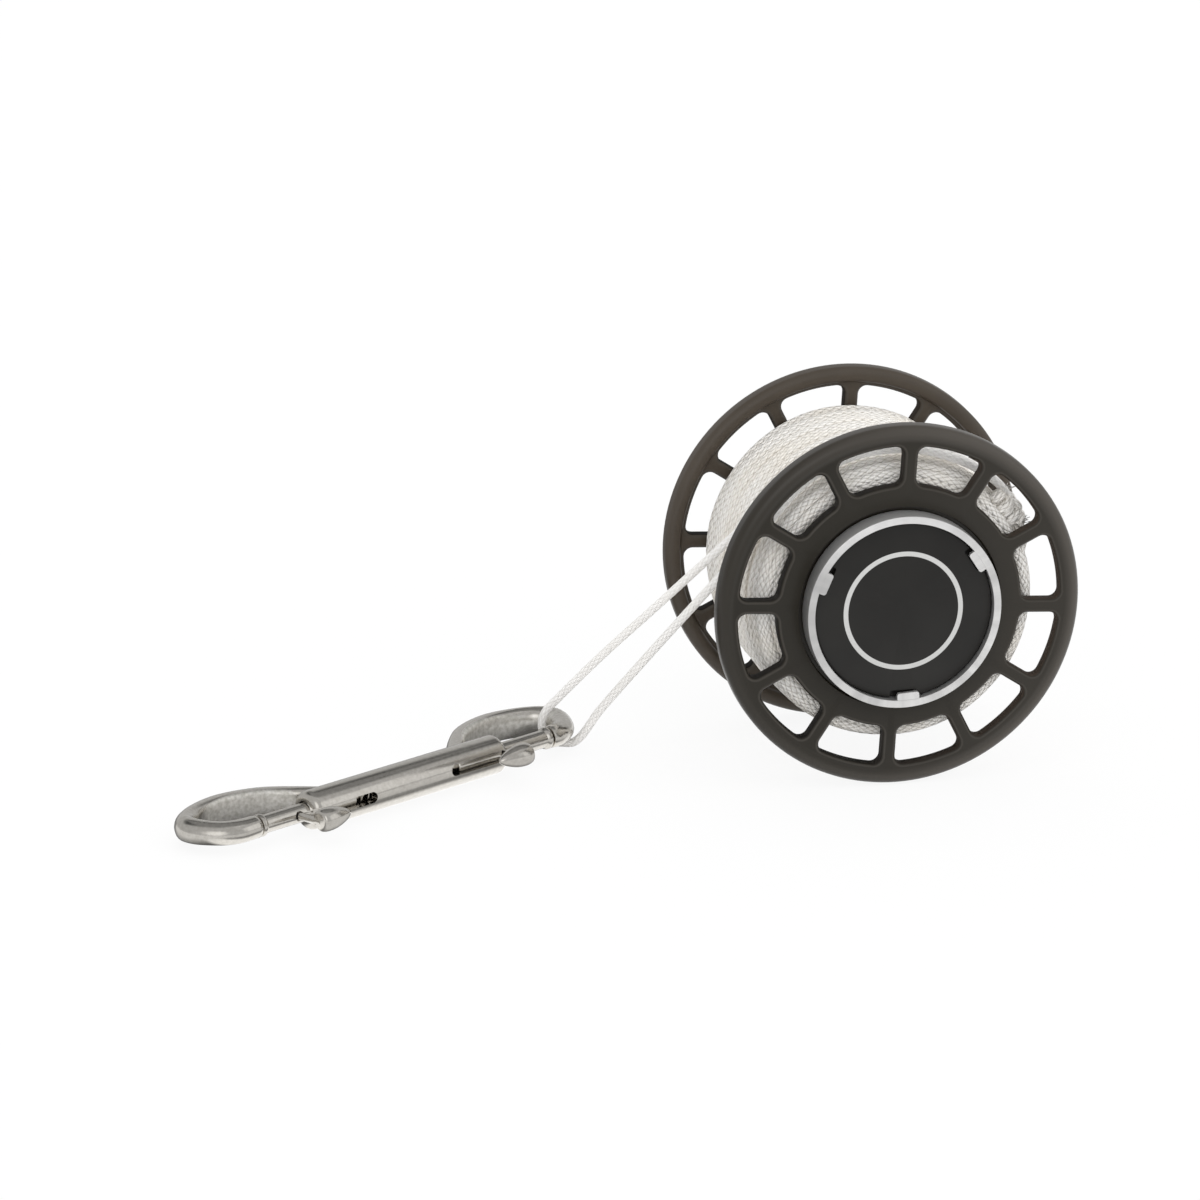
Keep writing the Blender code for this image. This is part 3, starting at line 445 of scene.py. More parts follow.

# %% [markdown]
# ## White line
#
# New braided line is a warm white with soft painted shade between its bundles,
# and here and there it is a little yellowed by handling. The pale colour and the
# painted shade colour are mixed by the gap mask, and slow noise over the whole
# pack adds the yellowed places. Fibres are matt, so the roughness is high, and a
# little sheen stands for their fuzz. On the wound pack the grooves between turns
# get painted shade, by the distance from the axis, but for those that the front
# flange shades.

# %% Line material
LINE_WHITE = (0.97, 0.948, 0.91), (0.59, 0.54, 0.46), (0.89, 0.83, 0.73)
LOOP_WHITE = (0.96, 0.945, 0.925), (0.70, 0.66, 0.60), (0.92, 0.90, 0.86)
# The groove colour is painted shade between the turns of the pack.
GROOVE_PAINTED_SHADE, GROOVE_ENDS = (0.56, 0.50, 0.42), (0.0324, 0.0331)
BEHIND_FLANGE, BRAID_DEPTH = (-0.0190, -0.0165), 0.00035


def line_material(name, colours, contrast=0.85, bump=1.0, groove_shade=0.0):
    pale, shade, wear_and_painted_light = colours
    material, shader, place = new_material(name)
    uv = Field(add_node(place.tree, "ShaderNodeUVMap", uv_map="line_uv").outputs["UV"])
    height, gap, fibre = through("ShaderNodeGroup", uv, node_tree=braid)
    yellowed = remap(noise(place, 95, 3), 0.42, 0.72, 0, 1) * 0.6
    colour = mix_colour(yellowed, mix_colour(gap * contrast, pale, shade), wear_and_painted_light)
    if groove_shade:
        # Painted shade in the grooves between turns, by the distance from the axis.
        distance, _ = round_the_axis(place)
        low = remap(distance, *GROOVE_ENDS, groove_shade, 0)
        behind = remap(split(place)[1], *BEHIND_FLANGE, 0, 1)
        colour = mix_colour(low * behind, colour, GROOVE_PAINTED_SHADE)
    fuzzy = vector_calc("MULTIPLY", colour, remap(fibre, 0.3, 0.7, 0.88, 1))[0]
    fill_shader(shader, height + fibre * 0.18, bump, BRAID_DEPTH, Base_Color=fuzzy,
                Roughness=0.85, Sheen_Weight=0.15, Specular_IOR_Level=0.25)
    return material


white_line = line_material("white_line", LINE_WHITE)
wound_line = line_material("wound_line", LINE_WHITE, groove_shade=0.85)
loop_line = line_material("loop_line", LOOP_WHITE, contrast=0.45, bump=0.6)
print("wound line:", len(wound_line.node_tree.nodes), "nodes")

# %% [markdown]
# ## A tube that knows its length
#
# Every strand is a round tube along a route. A curve with a round bevel, turned
# into a mesh, gives even rings that never twist. We then write a UV map on it:
# the first number is the distance along the strand in metres and the second one
# is the share of a turn around it. That is what the braid reads.

# %% Strand tubes
LINE_RADIUS = 0.001


def strand(name, points, radius=LINE_RADIUS, resolution=4):
    """A tube along points, its rings in order, with its UV map line_uv."""
    curve = bpy.data.curves.new(name, "CURVE")
    curve.dimensions = "3D"
    curve.bevel_depth = radius
    curve.bevel_resolution = resolution
    curve.use_fill_caps = True
    spline = curve.splines.new("POLY")
    spline.points.add(len(points) - 1)
    for target, point in zip(spline.points, points):
        target.co = (*point, 1)
    made = bpy.data.objects.new(name, curve)
    scene.collection.objects.link(made)
    select_only(made)
    bpy.ops.object.convert(target="MESH")
    mesh = bpy.context.object.data
    for old in list(mesh.uv_layers):
        mesh.uv_layers.remove(old)
    ring = 4 + 2 * resolution
    caps = len(mesh.vertices) - ring * len(points)
    runs = [0.0]
    for before, after in zip(points, points[1:]):
        runs.append(runs[-1] + (Vector(after) - Vector(before)).length)
    layer = mesh.uv_layers.new(name="line_uv")
    for face in mesh.polygons:
        steps = [(index - caps) % ring for index in face.vertices]
        seam = max(steps) - min(steps) > ring / 2
        for corner, index, step in zip(face.loop_indices, face.vertices, steps):
            number = min(max((index - caps) // ring, 0), len(points) - 1)
            turn = step + ring if seam and step < ring / 2 else step
            layer.data[corner].uv = (runs[number], turn / ring)
    bpy.ops.object.mode_set(mode="EDIT")
    return finish_piece(60)

# %% [markdown]
# ## A smooth way through chosen points
#
# Routes are given by a few listed points. A centripetal spline goes through all
# of them without loops or overshoot, because it takes more time over long
# stretches than over short ones. The CAD source uses the same one.

# %% Smooth routes
def fours(points):
    """Each four neighbours, with one more point beyond either end."""
    ends = [points[0] * 2 - points[1]] + points + [points[-1] * 2 - points[-2]]
    return zip(ends, ends[1:], ends[2:], ends[3:])


def smooth_route(points, samples):
    dense = []
    for a, b, c, d in fours(points):
        times = [0]
        for p, q in ((a, b), (b, c), (c, d)):
            times.append(times[-1] + math.sqrt((q - p).length))
        for k in range(samples):
            t = times[1] + (times[2] - times[1]) * k / samples
            row = [a, b, c, d]
            for span in (1, 2):
                row = [row[i].lerp(row[i + 1], (t - times[i]) / (times[i + span] - times[i]))
                       for i in range(len(row) - 1)]
            dense.append(row[0].lerp(row[1], (t - times[1]) / (times[2] - times[1])))
    dense.append(points[-1])
    return dense

# %% [markdown]
# ## The free loop of line
#
# The line's end is tied into a loop. It leaves the knot on top of the pack, runs
# over the winding to the left, hangs down to the snap's right hook, goes round
# it and comes back. It is a fixed length of limp line, about 303 mm, and both
# ends go back into the object at the knot. The points repeat the CAD route, but
# for its two ends, which are pressed down into the knot.

# %% Loop route and tube
LOOP_ROUTE = [
    (0.0281, -0.0180, 0.0626), (0.0272, -0.0174, 0.0652), (0.0243, -0.0168, 0.0684),
    (0.0176, -0.0164, 0.0729), (0.0075, -0.0158, 0.0767), (-0.0045, -0.0151, 0.0772),
    (-0.0165, -0.0143, 0.0733), (-0.0268, -0.0135, 0.0648), (-0.0383, -0.0060, 0.0510),
    (-0.0499, 0.0016, 0.0370), (-0.0613, 0.0091, 0.0233), (-0.0705, 0.0148, 0.0116),
    (-0.0727, 0.0158, 0.0088), (-0.0736, 0.0164, 0.0056), (-0.0730, 0.0164, 0.0029),
    (-0.0709, 0.0157, 0.0012), (-0.0688, 0.0147, 0.0010), (-0.0669, 0.0138, 0.0012),
    (-0.0652, 0.0126, 0.0029), (-0.0634, 0.0111, 0.0062), (-0.0617, 0.0099, 0.0094),
    (-0.0535, 0.0027, 0.0227), (-0.0453, -0.0046, 0.0357), (-0.0372, -0.0120, 0.0485),
    (-0.0295, -0.0190, 0.0611), (-0.0192, -0.0192, 0.0717), (-0.0070, -0.0193, 0.0768),
    (0.0060, -0.0194, 0.0769), (0.0176, -0.0194, 0.0729), (0.0243, -0.0192, 0.0684),
    (0.0272, -0.0194, 0.0650), (0.0281, -0.0194, 0.0624),
]
loop_points = smooth_route([Vector(point) for point in LOOP_ROUTE], 8)
loop_length = sum((b - a).length for a, b in zip(loop_points, loop_points[1:]))
end_loop = strand("end_loop", loop_points)
end_loop.data.materials.append(loop_line)
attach(end_loop, "spool")
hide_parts("line_loop")
print(f"end loop: {loop_length * 1000:.0f} mm in {len(loop_points)} points")

# %% [markdown]
# ## Where the turned parts stand
#
# Turned parts are drawn about the Z axis with their outer face upwards. The
# spool lies with its axis along Y, so one matrix tips the front parts towards
# the viewer. The rear flange is the same part turned round about a spoke, and
# the rear cup is turned round about the upright axis.

# %% Places on the spool
SPOKE_ANGLE = math.radians(86.4)
front_place = Matrix.Translation((0, 0, AXIS_HEIGHT)) @ Matrix.Rotation(math.pi / 2, 4, "X")
rear_place = front_place @ Matrix.Rotation(math.pi, 4, Vector((*polar(1, SPOKE_ANGLE), 0)))
rear_spinner_place = front_place @ Matrix.Rotation(math.pi, 4, "Y")


def hand_over(piece, material, slot, body, *nodes):
    """Give a piece its finish and its body, and let it stand for CAD nodes."""
    piece.data.materials.clear()
    piece.data.materials.append(material)
    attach(piece, body)
    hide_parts(*nodes)
    report(piece)


def both_ends(front, name, rear_matrix, materials, slot, body, node):
    """Place a piece at the front and its copy at the rear, and hand both over."""
    rear = copy_piece(front, f"{name}_rear")
    front.name = f"{name}_front"
    place_piece(front, front_place)
    place_piece(rear, rear_matrix)
    hand_over(front, materials[0], slot, body, f"front_{node}")
    hand_over(rear, materials[-1], slot, body, f"rear_{node}")

# %% [markdown]
# ## Flange
#
# Each flange is one turned plate: a flat web with a recess for the cup, and a
# rim that swells to a round bead with a shallow valley inside it. The section is
# drawn once. All corners that a hand would feel are rounded, because those
# roundings catch the light in the photograph.

# %% Flange section
WEB_INNER, WEB_OUTER = 0.02435, 0.02795

bead = arc((0.0403, 0.02615), 0.0022, 90, 0, 10) + arc((0.0407, 0.02415), 0.0018, 0, -90, 8)
flange = turned("flange", (
    [(0.0098, 0.02635), (0.0235, 0.02635), (0.0237, 0.02655), (0.0237, 0.02775),
     (0.02376, 0.02789), (0.0239, WEB_OUTER), (0.0388, WEB_OUTER), (0.0391, 0.02797),
     (0.0394, 0.02806), (0.0397, 0.02819), (0.0400, 0.02830)] + bead
    + [(0.0400, 0.02240), (0.0395, 0.02260), (0.0391, 0.02295), (0.0389, 0.02345),
       (0.0388, 0.02400), (0.0386, 0.02425), (0.0383, WEB_INNER), (0.0098, WEB_INNER)]))
report(flange)

# %% [markdown]
# ## Windows
#
# Twelve windows with rounded corners are milled through each web, and their
# edges are broken by a soft chamfer of 0.6 mm. A cutter with flared ends does
# both at once: its outline is drawn at several heights, wider near each face, and
# the loops are bridged. Half of the outline is drawn and mirrored.

# %% Window outline and cutter
SPOKE_COUNT, SPOKE_WIDTH = 12, 0.0032
HALF_PITCH = FULL_TURN / SPOKE_COUNT / 2
WINDOW_INNER, WINDOW_OUTER, WINDOW_CORNER = 0.02865, 0.0378, 0.0020
CORNER_OUTER, CORNER_INNER = WINDOW_OUTER - WINDOW_CORNER, WINDOW_INNER + WINDOW_CORNER
CORNER_ASIDE = SPOKE_WIDTH / 2 + WINDOW_CORNER
EDGE_ROUND, BEYOND_FACE = 0.0006, 0.0015
CHAMFER = ((1.0, 0.0), (0.90, 0.01), (0.78, 0.05), (0.66, 0.13), (0.18, 0.70),
           (0.05, 0.90), (0, 1.10))


def window_loop(grow, height):
    """The window's outline, larger by grow all round, at one height."""
    swings = [HALF_PITCH - math.asin(CORNER_ASIDE / circle)
              for circle in (CORNER_OUTER, CORNER_INNER)]
    outer, inner = [math.degrees(swing) for swing in swings]
    side = math.degrees(HALF_PITCH) + 90
    corner = WINDOW_CORNER + grow
    half = (arc((0, 0), WINDOW_OUTER + grow, 0, outer, 5)
            + arc(polar(CORNER_OUTER, swings[0]), corner, outer, side, 7)[1:]
            + arc(polar(CORNER_INNER, swings[1]), corner, side, inner + 180, 7)
            + arc((0, 0), WINDOW_INNER - grow, inner, 0, 4)[1:])
    return [(x, y, height) for x, y in half + [(x, -y) for x, y in half[-2:0:-1]]]


def flare(face, outwards):
    """(grow, height) from beyond a face down its chamfer to the straight wall."""
    return [(EDGE_ROUND, face + outwards * BEYOND_FACE)] + [
        (EDGE_ROUND * grow, face - outwards * EDGE_ROUND * depth) for grow, depth in CHAMFER]


cutter = skinned("window_cutter", [window_loop(*step) for step in
                                   flare(WEB_OUTER, 1) + flare(WEB_INNER, -1)[::-1]])
report(cutter)

# %% [markdown]
# ## Twelve windows in one cut
#
# One cutter is copied round the circle, half a pitch beside the spokes. All
# twelve are joined and taken out of the flange in one cut.

# %% Twelve windows in one cut
cutters = []
for number in range(SPOKE_COUNT):
    middle = SPOKE_ANGLE + FULL_TURN * (number + 0.5) / SPOKE_COUNT
    one = copy_piece(cutter, f"window_cutter_{number + 1}")
    place_piece(one, Matrix.Rotation(middle, 4, "Z"))
    cutters.append(one)
bpy.data.objects.remove(cutter, do_unlink=True)
select_only(*cutters)
bpy.ops.object.join()
combine(flange, cutters[0], "DIFFERENCE")
report(flange)

# %% [markdown]
# ## Screw holes
#
# Three countersunk screws hold each flange to the drum, under the cup. They are
# hidden at rest, but a take-apart view shows them, so the holes are real.

# %% Screw holes through the flange
SCREW_CIRCLE, SCREW_TURN = 0.01515, math.radians(50)
HOLE_SECTION = [(0, 0.0275), (0.0022, 0.0275), (0.0022, 0.02635), (0.0014, 0.02535),
                (0.0014, 0.0235), (0, 0.0235)]
for number in range(3):
    hole = turned("screw_hole", HOLE_SECTION, steps=24, closed=False)
    place = polar(SCREW_CIRCLE, SCREW_TURN + FULL_TURN * number / 3)
    place_piece(hole, Matrix.Translation((*place, 0)))
    combine(flange, hole, "DIFFERENCE")
shade_again(flange)
report(flange)

# %% [markdown]
# ## Fine grain, for metal and moulded finishes
#
# Blasted and anodised metal, satin metal and the cap all have a fine random
# grain at different sizes. The group takes a grain size in metres and puts out
# a fine height and a slow tone that varies over centimetres.

# %% Grain group
grain, (grain_place, grain_size), grain_out = make_group(
    "grain", [("Place", "NodeSocketVector"), ("Size", "NodeSocketFloat")], ("Height", "Tone"))
feed(grain_out["Height"], noise(grain_place, calc("DIVIDE", 1, grain_size), 2))
feed(grain_out["Tone"], noise(grain_place, 60, 3))


def grain_at(place, size):
    return through("ShaderNodeGroup", place, size, node_tree=grain)


print("grain group:", len(grain.nodes), "nodes")

# %% [markdown]
# ## Where a flange gets painted light
#
# Blasted aluminium under black anodising is a warm, very dark grey that looks
# matt, with a soft highlight along each rounded edge. The rim gets painted light,
# and a thin line just outside each window's edge gets a painted highlight. To
# find those edges, the node tree measures how far a point lies outside the
# nearest window's outline.

# %% Distance from the windows
def outside_window(distance, angle):
    """How far a point lies outside the outline of the nearest window."""
    from_spoke = calc("PINGPONG", angle - SPOKE_ANGLE, HALF_PITCH)
    aside = distance * calc("SINE", from_spoke)
    side_gap = greatest(CORNER_ASIDE - aside, 0)
    ring_gap = greatest(distance - CORNER_OUTER, CORNER_INNER - distance, 0)
    squares = side_gap * side_gap + ring_gap * ring_gap
    return calc("SQRT", squares) - WINDOW_CORNER

# %% [markdown]
# ## Black anodised flanges
#
# The black is not a bare metal to the eye, so it isn't metallic, and its
# roughness varies a little. The rim and the right side are painted paler, as
# painted light. Each window's wall is duller, with painted shade that is darker
# on the left and painted lighter on the right. The rear flange is the same black
# painted browner and lighter, as painted light, without the paler rim.

# %% Anodised material
BLACK, BLACK_LIGHTER = (0.0105, 0.0082, 0.0042), (0.0160, 0.0125, 0.0066)
# The rear flange's colours are the same black, painted lighter and browner as painted light.
REAR_BLACK_PAINTED_LIGHT, REAR_LIGHTER_PAINTED_LIGHT = (0.048, 0.0370, 0.0262), (0.068, 0.0535, 0.039)
# This colour is painted light on the rim and the right side, and a painted highlight just outside
# the windows' edges.
PAINTED_LIGHT_TONE = (0.060, 0.0525, 0.044)
# The window walls' colours are painted shade on the left and painted light on the right.
WALL_PAINTED_SHADE_LEFT, WALL_PAINTED_LIGHT_RIGHT = (0.008, 0.006, 0.004), (0.040, 0.027, 0.018)
WALL_ENDS, EDGE_STARTS, EDGE_ENDS = (0.00005, 0.00015), (0.00020, 0.00035), (0.00060, 0.00085)
RIM_STARTS, BLAST_SIZE, BLAST_DEPTH = (0.0384, 0.0408), 0.00018, 0.00005


def dark_finish(name, colour, lighter, roughness, bump, specular, painted_light=0.0):
    material, shader, place = new_material(name)
    height, tone = grain_at(place, BLAST_SIZE)
    distance, angle = round_the_axis(place)
    gap, side = outside_window(distance, angle), split(place)[0]
    wall = remap(gap, *WALL_ENDS, 1, 0)
    # Painted highlight: a thin paler line just outside each window's edge.
    edge = remap(gap, *EDGE_STARTS, 0, 0.5) * remap(gap, *EDGE_ENDS, 1, 0)
    # Painted light: the rim is paler, more so on the right, and the whole right side too.
    rim = remap(distance, *RIM_STARTS, 0, painted_light) * remap(side, -0.035, 0.010, 0.2, 1)
    painted_side_light = remap(side, -0.020, 0.035, 0, painted_light * 0.22)
    share = remap(tone, 0.35, 0.68, 0, 1) * 0.5 + remap(height, 0.40, 0.75, 0, 0.35)
    wear_and_painted_light = mix_colour(greatest(rim, edge, painted_side_light), mix_colour(share, colour, lighter), PAINTED_LIGHT_TONE)
    # Painted shade on each window's wall, darker on the left and painted lighter on the right.
    painted_wall_light_and_shade = mix_colour(remap(side, -0.010, 0.030, 0, 1), WALL_PAINTED_SHADE_LEFT, WALL_PAINTED_LIGHT_RIGHT)
    rough = remap(tone, 0.3, 0.7, roughness - 0.05, roughness + 0.05)
    fill_shader(shader, height, bump, BLAST_DEPTH, Base_Color=mix_colour(wall, wear_and_painted_light, painted_wall_light_and_shade),
                Roughness=wall * 0.45 + rough, Specular_IOR_Level=specular)
    return material


anodised_black = dark_finish("anodised_black", BLACK, BLACK_LIGHTER, 0.33, 0.30, 0.36,
                             painted_light=1.0)
# The rear flange gets painted light: a lighter, browner black.
anodised_rear_painted_light = dark_finish("anodised_black_rear_painted_light", REAR_BLACK_PAINTED_LIGHT, REAR_LIGHTER_PAINTED_LIGHT, 0.42, 0.35, 0.40)
both_ends(flange, "flange", rear_place, (anodised_black, anodised_rear_painted_light),
          "anodised_black", "spool", "flange")

# %% [markdown]
# ## Finger cup
#
# The silver cup is a turned ring with a floor and a boss that sits on the axle.
# Its face is a narrow flat between two small roundings.

# %% Cup body
CUP_RADIUS, CUP_INNER_RADIUS, CUP_FACE = 0.0227, 0.02097, 0.03225
CUP_BACK, CUP_FLOOR_TOP = 0.02675, 0.02825
cup = turned("cup", [
    (CUP_INNER_RADIUS, 0.03218), (CUP_INNER_RADIUS + 0.00007, CUP_FACE),
    (CUP_RADIUS - 0.0002, CUP_FACE), (CUP_RADIUS - 0.00006, 0.03219), (CUP_RADIUS, 0.03205),
    (CUP_RADIUS, CUP_BACK + 0.0002), (CUP_RADIUS - 0.0002, CUP_BACK),
    (0.0056, CUP_BACK), (0.0056, 0.02435), (0.0040, 0.02435), (0.0040, 0.02595),
    (0.0028, 0.02595), (0.0028, 0.02635), (0.0047, CUP_FLOOR_TOP),
    (CUP_INNER_RADIUS, CUP_FLOOR_TOP)])
report(cup)

# %% [markdown]
# ## Bayonet tabs
#
# Three bayonet tabs reach inwards over the cap. Each tab is a small plate with
# rounded inner corners, just below the cup's face, so a fine step shows round
# it. Its edges get a small bevel before it is joined to the ring.

# %% Bayonet tabs
TAB_ANGLES = [math.radians(degrees) for degrees in (32.5, 156.7, 273.1)]
TAB_TOP, TAB_BOTTOM = 0.03215, 0.03100
tab_outline = tongue(0.0192, 0.0219, half=0.0026, corner=0.0006, segments=5)
for angle in TAB_ANGLES:
    tab = plate("tab", tab_outline, TAB_BOTTOM, TAB_TOP)
    select_only(tab)
    edge_round = tab.modifiers.new("edge", "BEVEL")
    edge_round.width = 0.00015
    edge_round.segments = 2
    edge_round.limit_method = "ANGLE"
    bpy.ops.object.modifier_apply(modifier=edge_round.name)
    place_piece(tab, Matrix.Rotation(angle, 4, "Z"))
    combine(cup, tab, "UNION")
shade_again(cup)
report(cup)

# %% [markdown]
# ## Satin silver
#
# The cup is turned and then satin anodised. Turning leaves very fine rings, and
# those scatter light in broad sectors round the axis, some brighter and some
# darker. By each point's distance and angle round the spool's axis we draw the
# rings as a bump and the sectors as a painted reflection, a soft change of
# colour. The ring also gets a painted reflection of the room: darker at its
# lower left and paler at its top.

# %% Silver material
SILVER_DARK, SILVER_PALE = (0.58, 0.575, 0.57), (0.80, 0.795, 0.785)
SILVER_PAINTED_REFLECTION_DARK, SILVER_PAINTED_REFLECTION_PALE = (0.42, 0.415, 0.41), (0.95, 0.945, 0.94)
LOW_ANGLE, RING_SPACING = math.radians(-165), 0.00012


def make_silver():
    material, shader, place = new_material("satin_silver")
    distance, angle = round_the_axis(place)
    ahead, upright = calc("COSINE", angle), calc("SINE", angle)
    sectors = noise(through("ShaderNodeCombineXYZ", ahead * 1.6, upright * 1.6)[0], 2.6, 4)
    # Painted reflection: the sectors are some brighter, some darker.
    silver = mix_colour(remap(sectors, 0.36, 0.66, 0, 1), SILVER_DARK, SILVER_PALE)
    # Painted reflection of the room: darker at the lower left and paler at the top.
    below_left = remap(calc("COSINE", angle - LOW_ANGLE), 0.3, 1, 0, 0.45)
    silver = mix_colour(below_left, silver, SILVER_PAINTED_REFLECTION_DARK)
    silver = mix_colour(remap(upright, 0.4, 1, 0, 0.55), silver, SILVER_PAINTED_REFLECTION_PALE)
    rings = calc("SINE", distance * (FULL_TURN / RING_SPACING))
    height = rings * 0.4 + grain_at(place, 0.00015)[0]
    fill_shader(shader, height, 0.25, 0.00003, Base_Color=silver, Metallic=0.85,
                Roughness=remap(sectors, 0.3, 0.7, 0.46, 0.38))
    return material


satin_silver = make_silver()
both_ends(cup, "cup", rear_spinner_place, (satin_silver,), "satin_silver", "finger_cups",
          "finger_cup")

# %% [markdown]
# ## Centre cap
#
# A smooth black disc closes the cup. It is held under the tabs: it drops in
# with a recess below each tab and turns a few degrees, which is why a dark notch
# shows next to each tab. Its face has one printed pale ring and is otherwise
# plain.

# %% Cap with its three recesses
CAP_RADIUS, CAP_FACE, CAP_BACK = 0.02085, 0.0307, 0.02855
NOTCH_TURNS = [math.radians(degrees) for degrees in (1.5, -3.2, -3.2)]
NOTCH_DEPTH = 0.0016
cap = turned("cap", [(0, CAP_FACE), (CAP_RADIUS - 0.0006, CAP_FACE),
                     (CAP_RADIUS - 0.00035, CAP_FACE - 0.00008),
                     (CAP_RADIUS - 0.0001, CAP_FACE - 0.0003), (CAP_RADIUS, CAP_FACE - 0.0006),
                     (CAP_RADIUS, CAP_BACK), (0, CAP_BACK)], closed=False)
notch_outline = tongue(0.0189, 0.0220, half=0.0029, corner=0.0005, segments=4)
for angle, notch_turn in zip(TAB_ANGLES, NOTCH_TURNS):
    notch = plate("notch", notch_outline, CAP_FACE - NOTCH_DEPTH, CAP_FACE + 0.001)
    place_piece(notch, Matrix.Rotation(angle + notch_turn, 4, "Z"))
    combine(cap, notch, "DIFFERENCE")
shade_again(cap)
report(cap)

# %% [markdown]
# ## Cap finish and its printed ring
#
# The disc is the same kind of black, but smoother. The ring is print, so it is
# a change of colour and gloss by the distance from the axis, with edges a few
# hundredths of a millimetre soft, and not a raised form.

# %% Cap material
CAP_DARK, CAP_LIGHTER = (0.0095, 0.0088, 0.0078), (0.014, 0.013, 0.0115)
PRINT_TONE, PRINT_STARTS, PRINT_ENDS = (0.52, 0.52, 0.51), (0.01286, 0.01294), (0.01396, 0.01404)


def make_cap_black():
    material, shader, place = new_material("cap_black")
    height, tone = grain_at(place, 0.00012)
    distance, _ = round_the_axis(place)
    ring = remap(distance, *PRINT_STARTS, 0, 1) * remap(distance, *PRINT_ENDS, 1, 0)
    black = mix_colour(remap(tone, 0.35, 0.68, 0, 1), CAP_DARK, CAP_LIGHTER)
    fill_shader(shader, height, 0.12, 0.00003, Base_Color=mix_colour(ring, black, PRINT_TONE),
                Roughness=remap(ring, 0, 1, 0.34, 0.5), Specular_IOR_Level=0.3)
    return material


cap_black = make_cap_black()
both_ends(cap, "cap", rear_spinner_place, (cap_black,), "cap_black", "finger_cups",
          "centre_cap")

# %% [markdown]
# ## The wound pack, top layer
#
# The top layer is one unbroken strand in 22 close turns. Hand-wound line never
# lies perfectly: each turn leans a little, bulges and dips by a tenth of a
# millimetre or so, and one deeper crease runs a few millimetres behind the front
# flange. Slow waves whose periods don't match the turn give each turn its own
# wobble without a break between them. The first end comes up out of the layer
# below at the rear; the last one climbs over its neighbours to the knot. The
# pack's front shoulder is pressed in, and the pack swells at its lower left.

# %% Top layer route
WINDING_RADIUS, WINDING_HALF_WIDTH, SIDE_LIMIT = 0.0323, 0.0228, 0.0229
TURNS, POINTS_PER_TURN = 22, 72
WINDING_END, RISE = math.radians(33), math.radians(14)
PRESSED_RADIUS = 0.00120
KNOT_CIRCLE, KNOT_Y, RISE_LAYER = 0.0338, -0.0190, 0.0010
FIRST_DIP, LEAN = 0.0022, 0.00045
CREASE, CREASE_Y, CREASE_WIDTH = 0.0007, -0.0150, 0.0010
SHOULDER, SHOULDER_Y, SHOULDER_WIDTH = 0.0011, -0.0175, 0.0050
SWELL, SWELL_ANGLE, SWELL_WIDTH = 0.0006, math.radians(-154), math.radians(10)
OUT_WAVES = ((0.00011, 1.37, 0.1), (0.00009, 2.61, 0.6), (0.00006, 4.83, 0.3))
SIDE_WAVES = ((0.00009, 1.73, 0.2), (0.00007, 3.19, 0.7))


def smooth_share(share):
    share = min(max(share, 0), 1)
    return share * share * (3 - 2 * share)


def wave(turns, parts):
    return sum(size * math.sin(FULL_TURN * (turns * rate + start)) for size, rate, start in parts)


def winding_route():
    count = TURNS * POINTS_PER_TURN
    rise_steps = RISE / FULL_TURN * POINTS_PER_TURN
    pitch = 2 * WINDING_HALF_WIDTH / (count - rise_steps)
    route = []
    for i in range(count + 1):
        turns = i / POINTS_PER_TURN
        climb = (i - count + rise_steps) / rise_steps
        held = 1 - smooth_share(climb * 3)
        angle = WINDING_END + (i - count) * FULL_TURN / POINTS_PER_TURN
        beyond = (angle - SWELL_ANGLE + math.pi) % FULL_TURN - math.pi
        along = WINDING_HALF_WIDTH - pitch * i
        radius = WINDING_RADIUS + LINE_RADIUS - PRESSED_RADIUS + wave(turns, OUT_WAVES)
        radius -= FIRST_DIP * smooth_share(1 - i / 6)
        radius -= CREASE * math.exp(-((along - CREASE_Y) / CREASE_WIDTH) ** 2)
        radius -= SHOULDER * smooth_share((SHOULDER_Y - along) / SHOULDER_WIDTH) * held
        radius += SWELL * math.exp(-(beyond / SWELL_WIDTH) ** 2)
        along += held * (LEAN * math.sin(FULL_TURN * turns + 0.9) + wave(turns, SIDE_WAVES))
        along = min(max(along, -SIDE_LIMIT), SIDE_LIMIT)
        if climb > 0:
            radius += RISE_LAYER * smooth_share(climb / 0.45)
            radius += (KNOT_CIRCLE - WINDING_RADIUS - RISE_LAYER) * smooth_share(
                (climb - 0.45) / 0.4)
            along += (KNOT_Y - along) * smooth_share((climb - 0.30) / 0.55)
            along = -abs(along)
        x, z = polar(radius, angle)
        route.append(Vector((x, along, z + AXIS_HEIGHT)))
    return route


winding = strand("winding", winding_route(), PRESSED_RADIUS)
hand_over(winding, wound_line, "white_line", "spool", "line_winding")

# %% [markdown]
# ## Deeper layers at the pack's ends
#
# Through the windows one looks at the pack's flank, where the edges of the
# deeper layers lie stacked. Each end gets one strand that spirals outwards from
# layer to layer, uneven in and out.

# %% Flank strands
FLANK_TURNS, FLANK_INNER, FLANK_GROWTH, FLANK_DEPTH = 4.9, 0.0232, 0.0078, 0.0225


def flank_route(side, seed):
    chosen = random.Random(seed)
    starts = [chosen.random() for _ in range(4)]
    route = []
    for i in range(int(FLANK_TURNS * POINTS_PER_TURN) + 1):
        turns = i / POINTS_PER_TURN
        radius = FLANK_INNER + FLANK_GROWTH * turns / FLANK_TURNS + wave(
            turns, ((0.00035, 1.41, starts[0]), (0.00018, 3.3, starts[1])))
        depth = FLANK_DEPTH + wave(
            turns, ((0.00022, 1.23, starts[2]), (0.00016, 2.71, starts[3])))
        x, z = polar(radius, side * FULL_TURN * turns + starts[0] * FULL_TURN)
        route.append(Vector((x, side * min(depth, SIDE_LIMIT), z + AXIS_HEIGHT)))
    return route


